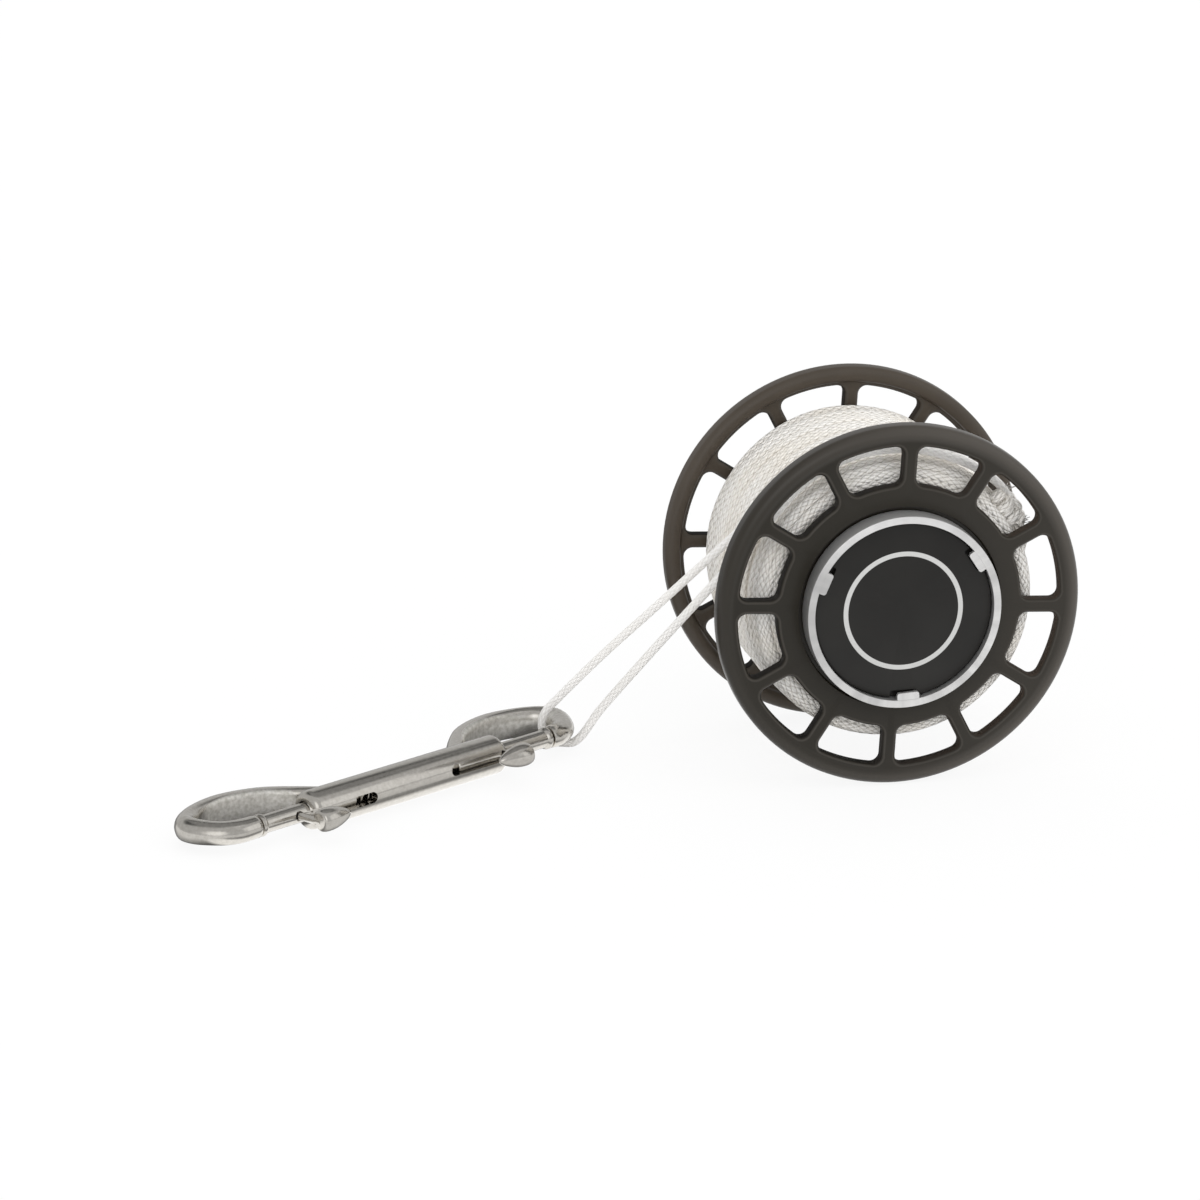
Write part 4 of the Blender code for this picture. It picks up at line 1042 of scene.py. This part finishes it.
for name, side, seed in (("flank_front", -1, 5), ("flank_rear", 1, 11)):
    hand_over(strand(name, flank_route(side, seed), PRESSED_RADIUS), white_line,
              "white_line", "spool", "line_core")

# %% [markdown]
# ## Shaded line in the pack's body
#
# Behind the strands stands a turned body. What shows of it between strands is
# more line, in shade. It needs no single stitches, only wound ridges at the
# strands' size, and a darker, warmer colour as painted shade, darker again in
# the ridges' hollows.

# %% Pack body and its material
PACK_DARK, PACK_PALE = (0.62, 0.58, 0.51), (0.82, 0.79, 0.73)
RIDGE_SPACING = 0.0020


def make_pack_shade():
    material, shader, place = new_material("pack_shade")
    distance, _ = round_the_axis(place)
    # Painted shade: the ridges darken the colour in their hollows.
    ridges = calc("SINE", (distance + split(place)[1]) * (FULL_TURN / RIDGE_SPACING))
    share = ridges * 0.35 + noise(place, 900, 3)
    fill_shader(shader, share, 0.8, 0.0004, Roughness=0.9,
                Base_Color=mix_colour(share, PACK_DARK, PACK_PALE))
    return material


pack_body = turned("pack_body", [(0.0193, 0.0226), (0.0296, 0.0226), (0.0303, 0.0215),
                                 (0.0314, 0.0180), (0.0314, -0.0215), (0.0308, -0.0226),
                                 (0.0193, -0.0226)], steps=96)
place_piece(pack_body, front_place)
hand_over(pack_body, make_pack_shade(), "white_line", "spool", "line_core")

# %% [markdown]
# ## The knot
#
# The loop is tied off in a bulky knot on the right of the pack, over its front
# edge, with short frayed ends. Four uneven wraps lie round a thick core. A
# trefoil curve, the simplest closed curve that is really knotted, sits where
# the two strands of the loop come out.

# %% Knot strands
KNOT_SHIFT, KNOT_ALONG = (-0.0046, -0.0016, 0.0012), (-0.545, 0, 0.839)
WRAP_RADIUS, WRAP_LENGTH, WRAP_TURNS, WRAP_POINTS = 0.0020, 0.0084, 4.1, 98
TREFOIL_SIZE, TREFOIL_HEIGHT, TREFOIL_TURN = 0.00080, 0.0010, math.radians(65)
knot_low, knot_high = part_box("line_knot")
knot_middle = (knot_low + knot_high) / 2 + Vector(KNOT_SHIFT)
knot_frame = Vector(KNOT_ALONG).to_track_quat("Z", "Y").to_matrix()


def in_knot(x, y, z):
    return knot_middle + knot_frame @ Vector((x, y, z))


def wraps():
    points = []
    for i in range(WRAP_POINTS + 1):
        share = i / (WRAP_TURNS * 24)
        turns = share * WRAP_TURNS
        out = WRAP_RADIUS + wave(turns, ((0.00030, 0.73, 0.2), (0.00022, 1.9, 0.5)))
        x, y = polar(out, FULL_TURN * turns)
        slip = 0.0005 * math.sin(FULL_TURN * share * 2.3)
        points.append(in_knot(x, y * 0.9, WRAP_LENGTH * (share - 0.5) + slip))
    return points


def trefoil(middle):
    tilted = knot_frame @ Matrix.Rotation(TREFOIL_TURN, 3, "Y")
    points = []
    for i in range(97):
        t = FULL_TURN * i / 96 * 0.985
        points.append(middle + tilted @ Vector((
            TREFOIL_SIZE * (math.sin(t) + 2 * math.sin(2 * t)),
            TREFOIL_SIZE * (math.cos(t) - 2 * math.cos(2 * t)),
            -TREFOIL_HEIGHT * math.sin(3 * t))))
    return points


core = [in_knot(0, 0, 0.0046 * (step / 6 - 1)) for step in range(13)]
loop_exit = (Vector(LOOP_ROUTE[0]) + Vector(LOOP_ROUTE[-1])) / 2
knot_parts = [strand("knot", wraps(), 0.00125), strand("knot_core", core, 0.0018),
              strand("knot_exit", trefoil(loop_exit.lerp(knot_middle, 0.35)))]
print("knot middle", [round(value * 1000, 1) for value in knot_middle], "mm")

# %% [markdown]
# ## Frayed ends
#
# Thin fibres of uneven length stand off the two cut ends, each bent its own way.
# All strands of the knot are then joined into one piece.

# %% Frayed ends
FIBRE_COUNT, FIBRE_RADIUS, FIBRE_LENGTHS = 9, 0.00009, (0.0009, 0.0018)
FIBRE_SPREAD, FIBRE_BEND, FIBRE_APART = 0.45, 0.0012, 0.0010


def fray(name, root, direction, seed):
    chosen = random.Random(seed)
    made = []
    for number in range(FIBRE_COUNT):
        spread = Vector([chosen.uniform(-1, 1) for _ in range(3)]) * FIBRE_SPREAD
        heading = (direction + spread).normalized()
        bend = Vector([chosen.uniform(-1, 1) for _ in range(3)]) * FIBRE_BEND
        length = chosen.uniform(*FIBRE_LENGTHS)
        start = root + spread * FIBRE_APART
        points = [start + heading * length * step + bend * step * step
                  for step in (0, 0.25, 0.5, 0.75, 1.0)]
        made.append(strand(f"{name}_{number}", points, FIBRE_RADIUS, 0))
    return made


knot_parts += fray("fray_one", in_knot(0.0022, 0.0010, -0.0036),
                   knot_frame @ Vector((0.8, 0.2, -0.3)), 3)
knot_parts += fray("fray_two", in_knot(-0.0010, 0.0026, 0.0034),
                   knot_frame @ Vector((0.1, 0.9, 0.3)), 8)
select_only(*knot_parts)
bpy.ops.object.join()
hand_over(knot_parts[0], white_line, "white_line", "spool", "line_knot")

# %% [markdown]
# ## The snap's own frame
#
# The double-ended snap lies on the floor, turned 30 degrees. It is modelled with
# its barrel along X and its hooks to the +Y side, and placed by one matrix.

# %% Snap frame
snap_place = Matrix.Translation((-0.11290, -0.01460, 0.00474))
for degrees, axis in ((29.95, "Z"), (-0.35, "Y"), (-0.4, "X")):
    snap_place = snap_place @ Matrix.Rotation(math.radians(degrees), 4, axis)
lay_down = Matrix.Rotation(math.pi / 2, 4, "Y")

# %% [markdown]
# ## Barrel
#
# The barrel is turned, with a bore from each end for the gate. One half of its
# section is drawn and mirrored.

# %% Barrel
BARREL_RADIUS, BARREL_HALF, BORE, BARREL_ROUND = 0.00455, 0.0289, 0.0025, 0.0018
end_round = arc((BARREL_HALF - BARREL_ROUND, BARREL_RADIUS - BARREL_ROUND), BARREL_ROUND,
                0, 90, 8)
right_half = [(0, 0.0012), (BORE, 0.0012), (BORE, BARREL_HALF)] + [(r, h) for h, r in end_round]
barrel = turned("snap", right_half + [(r, -h) for r, h in right_half[::-1]],
                steps=64, closed=False)
place_piece(barrel, lay_down)
report(barrel)

# %% [markdown]
# ## Hooks
#
# Each hook is a cast arm that leaves the barrel's side as a flat upright bar,
# swells round the bend and ends as a thick round nose facing the gate. We draw
# its section at many places along a smooth line and bridge them. The path lists
# x, y, half thickness and half height. By ring number, the arm is more of a flat
# bar and reaches further down. The left hook is mirrored and reaches a little
# further out and in. Both are joined to the barrel.

# %% Hooks
HOOK_PATH = [
    (0.0145, 0.0036, 0.0006, 0.0016), (0.0190, 0.0046, 0.0017, 0.0023),
    (0.0245, 0.0093, 0.0019, 0.0024), (0.0310, 0.0140, 0.0019, 0.0025),
    (0.0398, 0.0162, 0.0019, 0.0026), (0.0478, 0.0149, 0.0021, 0.0027),
    (0.0530, 0.0118, 0.0025, 0.0028), (0.0544, 0.0077, 0.0029, 0.0029),
    (0.0516, 0.0026, 0.0030, 0.0027), (0.0478, 0.0002, 0.0029, 0.0027)]
TIP_SECTION = (0, 0.0027, 0.0026)
HOOK_TIPS = {"left": 0.0430, "right": 0.0449}
HOOK_REACH = {"left": 0.0008, "right": -0.0002}
REACH_FROM, REACH_OVER = 0.042, 0.008
HOOK_SIDES, HOOK_STEPS = 24, 5
ARM_BOXY, BOXY_MIDDLE, BOXY_REACH, BOXY_FADE = 0.42, 16, 12, 8
ARM_DEPTH, DEEP_FROM, DEEP_TO, DEEP_FADE = 0.0017, 4, 35, 9
NOSE_STEPS = ((1, 0.0004), (0.93, 0.0001), (0.80, 0))


def hook_rings(side):
    """x, y, half thickness and half height at even steps along a hook."""
    path = [Vector((x + HOOK_REACH[side] * smooth_share((x - REACH_FROM) / REACH_OVER), *rest))
            for x, *rest in HOOK_PATH + [(HOOK_TIPS[side], *TIP_SECTION)]]
    rings = []
    for a, b, c, d in fours(path):
        for k in range(HOOK_STEPS):
            t = k / HOOK_STEPS
            rings.append((b * 2 + (c - a) * t + (a * 2 - b * 5 + c * 4 - d) * t * t
                          + (b * 3 - a - c * 3 + d) * t * t * t) / 2)
    return rings + [path[-1]]


def fuller(value, power):
    """Push a sine towards its ends, which turns a round section into a flat bar's."""
    return math.copysign(abs(value) ** power, value)


def hook_loops(side):
    rings = hook_rings(side)
    loops = []
    for i, (x, y, across, upright) in enumerate(rings):
        before, after = rings[max(i - 1, 0)], rings[min(i + 1, len(rings) - 1)]
        along = Vector((after[0] - before[0], after[1] - before[1], 0)).normalized()
        if i == len(rings) - 1:
            along = Vector((-1, 0, 0))
        outward = Vector((-along.y, along.x, 0))
        boxy = 1 - ARM_BOXY * smooth_share((BOXY_REACH - abs(i - BOXY_MIDDLE)) / BOXY_FADE)
        deeper = upright + ARM_DEPTH * smooth_share(min(i - DEEP_FROM, DEEP_TO - i) / DEEP_FADE)
        loop = []
        for k in range(HOOK_SIDES):
            aside, rise = [fuller(part, boxy) for part in polar(1, FULL_TURN * k / HOOK_SIDES)]
            half_height = upright if rise > 0 else deeper
            loop.append(Vector((x, y, 0)) + outward * across * aside
                        + Vector((0, 0, rise * half_height)))
        loops.append(loop)
    tip, centre = loops.pop(), Vector((HOOK_TIPS[side], 0, 0))
    for size, back in NOSE_STEPS:
        loops.append([centre + (point - centre) * size + Vector((back, 0, 0)) for point in tip])
    return loops


for side in ("right", "left"):
    hook = skinned(f"{side}_hook", hook_loops(side), smooth_angle=50)
    report(hook)
    if side == "left":
        place_piece(hook, Matrix.Scale(-1, 4, (1, 0, 0)))
        bpy.ops.object.mode_set(mode="EDIT")
        finish_piece(50)
    combine(barrel, hook, "UNION")
report(barrel)

# %% [markdown]
# ## Slots for the thumb studs
#
# A slot with a round end runs along each half of the barrel, on the side away
# from the hooks, so that each gate can be drawn back with the thumb. Each gate
# and its slot are turned up a little about the barrel, the right one more.

# %% Slots
SLOT_HALF, SLOT_END = 0.0013, 0.0125
GATE_ROLLS = {"left": math.radians(4.6), "right": math.radians(10.6)}
BEYOND_BARREL = 0.001
slot_outline = arc((SLOT_END, 0), SLOT_HALF, 90, 270, 10) + [
    (BARREL_HALF + BEYOND_BARREL, -SLOT_HALF), (BARREL_HALF + BEYOND_BARREL, SLOT_HALF)]
half_turn = Matrix.Rotation(math.pi, 4, "Z")
for slot_turn in (Matrix.Rotation(math.pi / 2 - GATE_ROLLS["right"], 4, "X"),
                  half_turn @ Matrix.Rotation(GATE_ROLLS["left"] - math.pi / 2, 4, "X")):
    slot = plate("slot", slot_outline, 0, BARREL_RADIUS + BEYOND_BARREL)
    place_piece(slot, slot_turn)
    combine(barrel, slot, "DIFFERENCE")
shade_again(barrel, 40)
report(barrel)

# %% [markdown]
# ## Polished steel
#
# The snap is cast stainless steel, tumbled bright. It mirrors its surroundings
# in broad light and dark bands. Handling leaves faint smears, which change the
# roughness, and a fine unevenness, which is a very shallow bump. The inner wall
# of each hook is paler and rougher: an oval in the snap's own frame tells where
# that is.

# %% Steel material
STEEL, STEEL_WARM = (0.49, 0.468, 0.430), (0.56, 0.538, 0.500)
SPRING_STEEL, SPRING_WARM = (0.50, 0.475, 0.43), (0.58, 0.555, 0.51)
INNER_WALL_DARK, INNER_WALL_PALE = (0.62, 0.60, 0.55), (0.88, 0.86, 0.82)
OVAL_MIDDLE, OVAL_OUT, OVAL_IN, OVAL_ASIDE = 0.0385, 0.0170, 0.0150, 0.0150
OVAL_ENDS, CLEAR_OF_BARREL = (0.99, 1.06), (0.0045, 0.0055)


def inside_hook(place):
    """1 on the inner wall of either hook, 0 elsewhere."""
    offset = vector_calc("SUBTRACT", place, snap_place.translation)[0]
    along, aside = [vector_calc("DOT_PRODUCT", offset, snap_place.col[axis].to_3d())[1]
                    for axis in (0, 1)]
    beyond = calc("ABSOLUTE", along) - OVAL_MIDDLE
    lengthwise = greatest(beyond / OVAL_OUT, beyond / -OVAL_IN)
    sideways = aside / OVAL_ASIDE
    oval = lengthwise * lengthwise + sideways * sideways
    return remap(oval, *OVAL_ENDS, 1, 0) * remap(aside, *CLEAR_OF_BARREL, 0, 1)


def make_steel(name, colour, warm, low, high):
    material, shader, place = new_material(name)
    height, tone = grain_at(place, 0.0009)
    inner_wall, mottle = inside_hook(place), remap(height, 0.3, 0.7, 0, 1)
    polished = mix_colour(mottle, colour, warm)
    rough = mix_colour(mottle, INNER_WALL_DARK, INNER_WALL_PALE)
    fill_shader(shader, height, 0.10, 0.00008, Metallic=1.0,
                Base_Color=mix_colour(inner_wall, polished, rough),
                Roughness=inner_wall * 0.28 + remap(tone, 0.35, 0.68, low, high))
    return material


satin_steel = make_steel("satin_steel", STEEL, STEEL_WARM, 0.15, 0.24)
spring_steel = make_steel("spring_steel", SPRING_STEEL, SPRING_WARM, 0.30, 0.40)
barrel.name = "snap_barrel_and_hooks"
place_piece(barrel, snap_place)
hand_over(barrel, satin_steel, "polished_steel", "spool", "snap_body")

# %% [markdown]
# ## Gate bolts
#
# A round bolt slides in each bore and closes the hook's mouth. It has a small
# collar at its nose, a thicker guide inside the barrel, a pin that holds the
# spring's end and a seat for the thumb stud's neck. Both gates are drawn in the
# same frame, along +X, and the left one is then turned round.

# %% Gate bolts
GATE_NOSES = {"left": 0.0428, "right": 0.0446}
NECK_PLACES = {"left": 0.0321, "right": 0.0295}
GATE_TAIL, GATE_RADIUS, GUIDE_RADIUS = 0.0155, 0.0021, 0.0024
PIN_TAIL, PIN_RADIUS = 0.0122, 0.0012
SEAT_SECTION = [(0, 0.0031), (0.0012, 0.0031), (0.0012, 0.0012), (0, 0.0012)]
gate_places = {
    "right": snap_place @ Matrix.Rotation(-GATE_ROLLS["right"], 4, "X"),
    "left": snap_place @ half_turn @ Matrix.Rotation(GATE_ROLLS["left"], 4, "X")}
for side, flip in (("right", 0), ("left", math.pi)):
    nose = GATE_NOSES[side]
    bolt = turned(f"{side}_bolt", [
        (0, nose), (0.0020, nose), (0.0024, nose - 0.00015), (0.0026, nose - 0.00045),
        (0.0026, nose - 0.0009), (0.0025, nose - 0.0012), (0.0021, nose - 0.0016),
        (GATE_RADIUS, BARREL_HALF), (GUIDE_RADIUS, BARREL_HALF - 0.0004),
        (GUIDE_RADIUS, GATE_TAIL + 0.0002), (GUIDE_RADIUS - 0.0002, GATE_TAIL),
        (PIN_RADIUS, GATE_TAIL), (PIN_RADIUS, PIN_TAIL + 0.0003),
        (PIN_RADIUS - 0.0003, PIN_TAIL), (0, PIN_TAIL)], steps=40, closed=False)
    place_piece(bolt, lay_down)
    seat = turned("seat", SEAT_SECTION, steps=24, closed=False)
    place_piece(seat, Matrix.Translation((NECK_PLACES[side], 0, 0))
                @ Matrix.Rotation(math.pi / 2, 4, "X"))
    combine(bolt, seat, "DIFFERENCE")
    place_piece(bolt, gate_places[side] @ Matrix.Rotation(flip, 4, "X"))
    shade_again(bolt)
    hand_over(bolt, satin_steel, "polished_steel", f"{side}_gate", f"{side}_gate_bolt")

# %% [markdown]
# ## Thumb studs
#
# Each stud is a drop lying along the barrel on a thin neck. The blunt end faces
# the hook and the drop thins out towards the middle. Its profile is given as
# shares of its radius and length.

# %% Thumb studs
STUD_RADIUS, STUD_LENGTH, STUD_OFFSET = 0.0027, 0.0092, 0.0098
BLUNT_SETBACK, STUD_RISE = 0.0008, 0.0003
STUD_PROFILE = [(0, 0), (0.60, 0.0), (0.78, 0.012), (0.90, 0.045), (0.97, 0.11), (1.0, 0.20),
                (0.985, 0.33), (0.93, 0.45), (0.83, 0.57), (0.70, 0.69), (0.54, 0.81),
                (0.38, 0.90), (0.22, 0.96), (0.10, 0.99), (0, 1.0)]
NECK_SECTION = [(0, STUD_OFFSET), (0.0009, STUD_OFFSET), (0.0009, 0.0085), (0.0011, 0.0079),
                (0.0009, 0.0070), (0.0009, 0.0015), (0, 0.0015)]
for side, sign in (("right", 1), ("left", -1)):
    blunt = NECK_PLACES[side] + BLUNT_SETBACK
    stud = turned(f"{side}_stud", [(STUD_RADIUS * wide, blunt - STUD_LENGTH * along)
                                   for wide, along in STUD_PROFILE], steps=40, closed=False)
    place_piece(stud, Matrix.Translation((0, -sign * STUD_OFFSET, STUD_RISE)) @ lay_down)
    neck = turned("neck", NECK_SECTION, steps=24, closed=False)
    place_piece(neck, Matrix.Translation((NECK_PLACES[side], 0, 0))
                @ Matrix.Rotation(sign * math.pi / 2, 4, "X"))
    combine(stud, neck, "UNION")
    shade_again(stud, 40)
    place_piece(stud, gate_places[side])
    hand_over(stud, satin_steel, "polished_steel", f"{side}_gate", f"{side}_thumb_stud")

# %% [markdown]
# ## Gate springs
#
# A coil of round wire pushes each gate shut. It shows through the slot behind
# the stud.

# %% Springs
SPRING_RADIUS, SPRING_WIRE, CURLS, CURL_POINTS, TRAVEL = 0.0017, 0.00025, 6, 28, 0.0105
COIL_INSET = 0.0006
wall_end, gate_end = 0.0015, GATE_TAIL - 0.0003
spring_length = gate_end - wall_end
for side, sign in (("right", 1), ("left", -1)):
    coil = []
    for i in range(CURLS * CURL_POINTS + 1):
        share = i / (CURLS * CURL_POINTS)
        y, z = polar(SPRING_RADIUS, FULL_TURN * CURLS * share)
        coil.append(Vector((wall_end + COIL_INSET + (spring_length - 2 * COIL_INSET) * share,
                            sign * y, z)))
    spring = strand(f"{side}_spring", coil, SPRING_WIRE, 2)
    place_piece(spring, snap_place if sign > 0 else snap_place @ half_turn)
    hand_over(spring, spring_steel, "polished_steel", "spool", f"{side}_gate_spring")
    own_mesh(spring)

# %% [markdown]
# ## Finishes for the CAD nodes that stay
#
# Drum, axle, spacer, screws and bearings are hidden inside, and their CAD
# meshes are right as they are. Each gets the finish that such a piece has.

# %% Inner pieces
bearing_steel = make_steel("bearing_steel", (0.50, 0.50, 0.52), (0.58, 0.58, 0.60), 0.16, 0.26)
screw_steel = make_steel("screw_steel", (0.40, 0.40, 0.41), (0.48, 0.47, 0.46), 0.26, 0.36)
inner_finishes = {"axle": (satin_steel, "polished_steel"),
                  "bearing_spacer": (satin_silver, "satin_silver"),
                  "drum": (anodised_black, "anodised_black")}
for name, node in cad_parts.items():
    if name not in inner_finishes and "screw" not in name and "bearing_" not in name:
        continue
    default = (screw_steel, "screws") if "screw" in name else (bearing_steel, "bearing_steel")
    material, slot = inner_finishes.get(name, default)
    node.data.materials.clear()
    node.data.materials.append(material)
    print(name, material.name)

# %% [markdown]
# ## Floor
#
# The photograph is a studio cut-out on white with hardly any shadow. The floor
# glows white for the camera, mixed with some plain diffuse white that keeps the
# object's shadow; the Light Path node tells the rays apart. What polished steel
# mirrors of the floor is toned: dimmer in front of the spool, and in bands along
# the snap, as far as its toe, which gives the hooks their dark and light stripes.

# %% Floor
SNAP_SLOPE = -0.576
FLOOR_BANDS = ((0.0350, 0.0400, 0.85, 0.20), (0.0425, 0.0450, 0, 1.4),
               (0.0510, 0.0535, 0, -1.5))


def empty_tree(owner):
    owner.use_nodes = True
    owner.node_tree.nodes.clear()
    return owner.node_tree


def ray_kinds(tree):
    """1 for a camera, glossy or transmission ray, in that order, and else 0."""
    node = add_node(tree, "ShaderNodeLightPath")
    return [Field(node.outputs[f"Is {kind} Ray"])
            for kind in ("Camera", "Glossy", "Transmission")]


bpy.ops.object.select_all(action="DESELECT")
bpy.ops.mesh.primitive_plane_add(size=14, location=(0, 0, -0.0002))
floor = bpy.context.object
floor.name = "floor"
floor_material = bpy.data.materials.new("floor_white")
tree = empty_tree(floor_material)
camera_ray, glossy_ray, clear_ray = ray_kinds(tree)
x, y, _ = split(Field(add_node(tree, "ShaderNodeTexCoord").outputs["Object"]))
before_spool = remap(y, -0.20, -0.09, 0.70, 1)
off_snap = x * SNAP_SLOPE + y
dark, pale, dark_again = [remap(off_snap, *ends) for ends in FLOOR_BANDS]
bands = dark + pale + dark_again
past_toe = remap(y * 0.5 + x * 0.866 + 0.1051, -0.062, -0.055, 1, 0)
beside = greatest(past_toe, remap(x, -0.070, -0.045, 0, 1))
level = bands * (1 - beside) + beside
plain = add_node(tree, "ShaderNodeBsdfDiffuse", Color=(0.86, 0.86, 0.86))
glow = add_node(tree, "ShaderNodeEmission", Color=(1, 1, 1),
                Strength=glossy_ray * (level * before_spool - 1) + 1)
glow_share = greatest(camera_ray * 0.90, greatest(glossy_ray, clear_ray) * 0.8)
mixed, = through("ShaderNodeMixShader", glow_share, Field(plain.outputs[0]),
                 Field(glow.outputs[0]))
add_node(tree, "ShaderNodeOutputMaterial", Surface=mixed)
floor.data.materials.append(floor_material)
print("floor:", len(tree.nodes), "nodes")

# %% [markdown]
# ## World
#
# The light is a soft dome that is brighter above and in front. Glossy rays see a
# darker room with one bright window at the front left, so that polished steel
# has something to mirror. To the camera the backdrop is plain white.

# %% World
WINDOW_LIGHT = (-0.35, -0.85, 0.39)

scene.world = bpy.data.worlds.new("studio")
tree = empty_tree(scene.world)
camera_ray, glossy_ray, clear_ray = ray_kinds(tree)
heading = Field(add_node(tree, "ShaderNodeTexCoord").outputs["Generated"])
x, y, z = split(heading)
dome = remap(z, 0, 1, 0.86, 1.20) + remap(y, 0, -1, 0, 0.70) + remap(x, -1, 0, -0.32, 0)
ceiling = z + remap(y, -0.30, 0.40, 0, 0.48)
towards_window = vector_calc("DOT_PRODUCT", heading, WINDOW_LIGHT)[1]
room = remap(ceiling, 1.04, 1.18, 0.64, 0.08) + remap(towards_window, 0.90, 0.97, 0, 0.85)
soft = glossy_ray * room + (1 - glossy_ray) * dome
sky = add_node(tree, "ShaderNodeBackground", Color=(1, 1, 1),
               Strength=greatest(camera_ray, clear_ray, soft))
add_node(tree, "ShaderNodeOutputWorld", Surface=Field(sky.outputs[0]))
print("world:", len(tree.nodes), "nodes")

# %% [markdown]
# ## Lamps
#
# Two weak soft lamps, above and to the right, add a little direction at a level
# where colours come out as written.

# %% Lamps
LAMP_POWER, MIDDLE_OF_ALL = 1.2, Vector((-0.05, 0, 0.04))
for name, place, size in (("top_softbox", (0.0, 0.30, 1.3), (1.4, 1.2)),
                          ("right_softbox", (1.2, -0.5, 0.6), (0.9, 1.0))):
    data = bpy.data.lights.new(name, "AREA")
    data.shape = "RECTANGLE"
    data.size, data.size_y = size
    data.energy = LAMP_POWER
    lamp = bpy.data.objects.new(name, data)
    scene.collection.objects.link(lamp)
    lamp.matrix_world = Matrix.Translation(place) @ (
        MIDDLE_OF_ALL - Vector(place)).to_track_quat("-Z", "Y").to_matrix().to_4x4()
    print(name, place)
scene.view_settings.view_transform = "Standard"
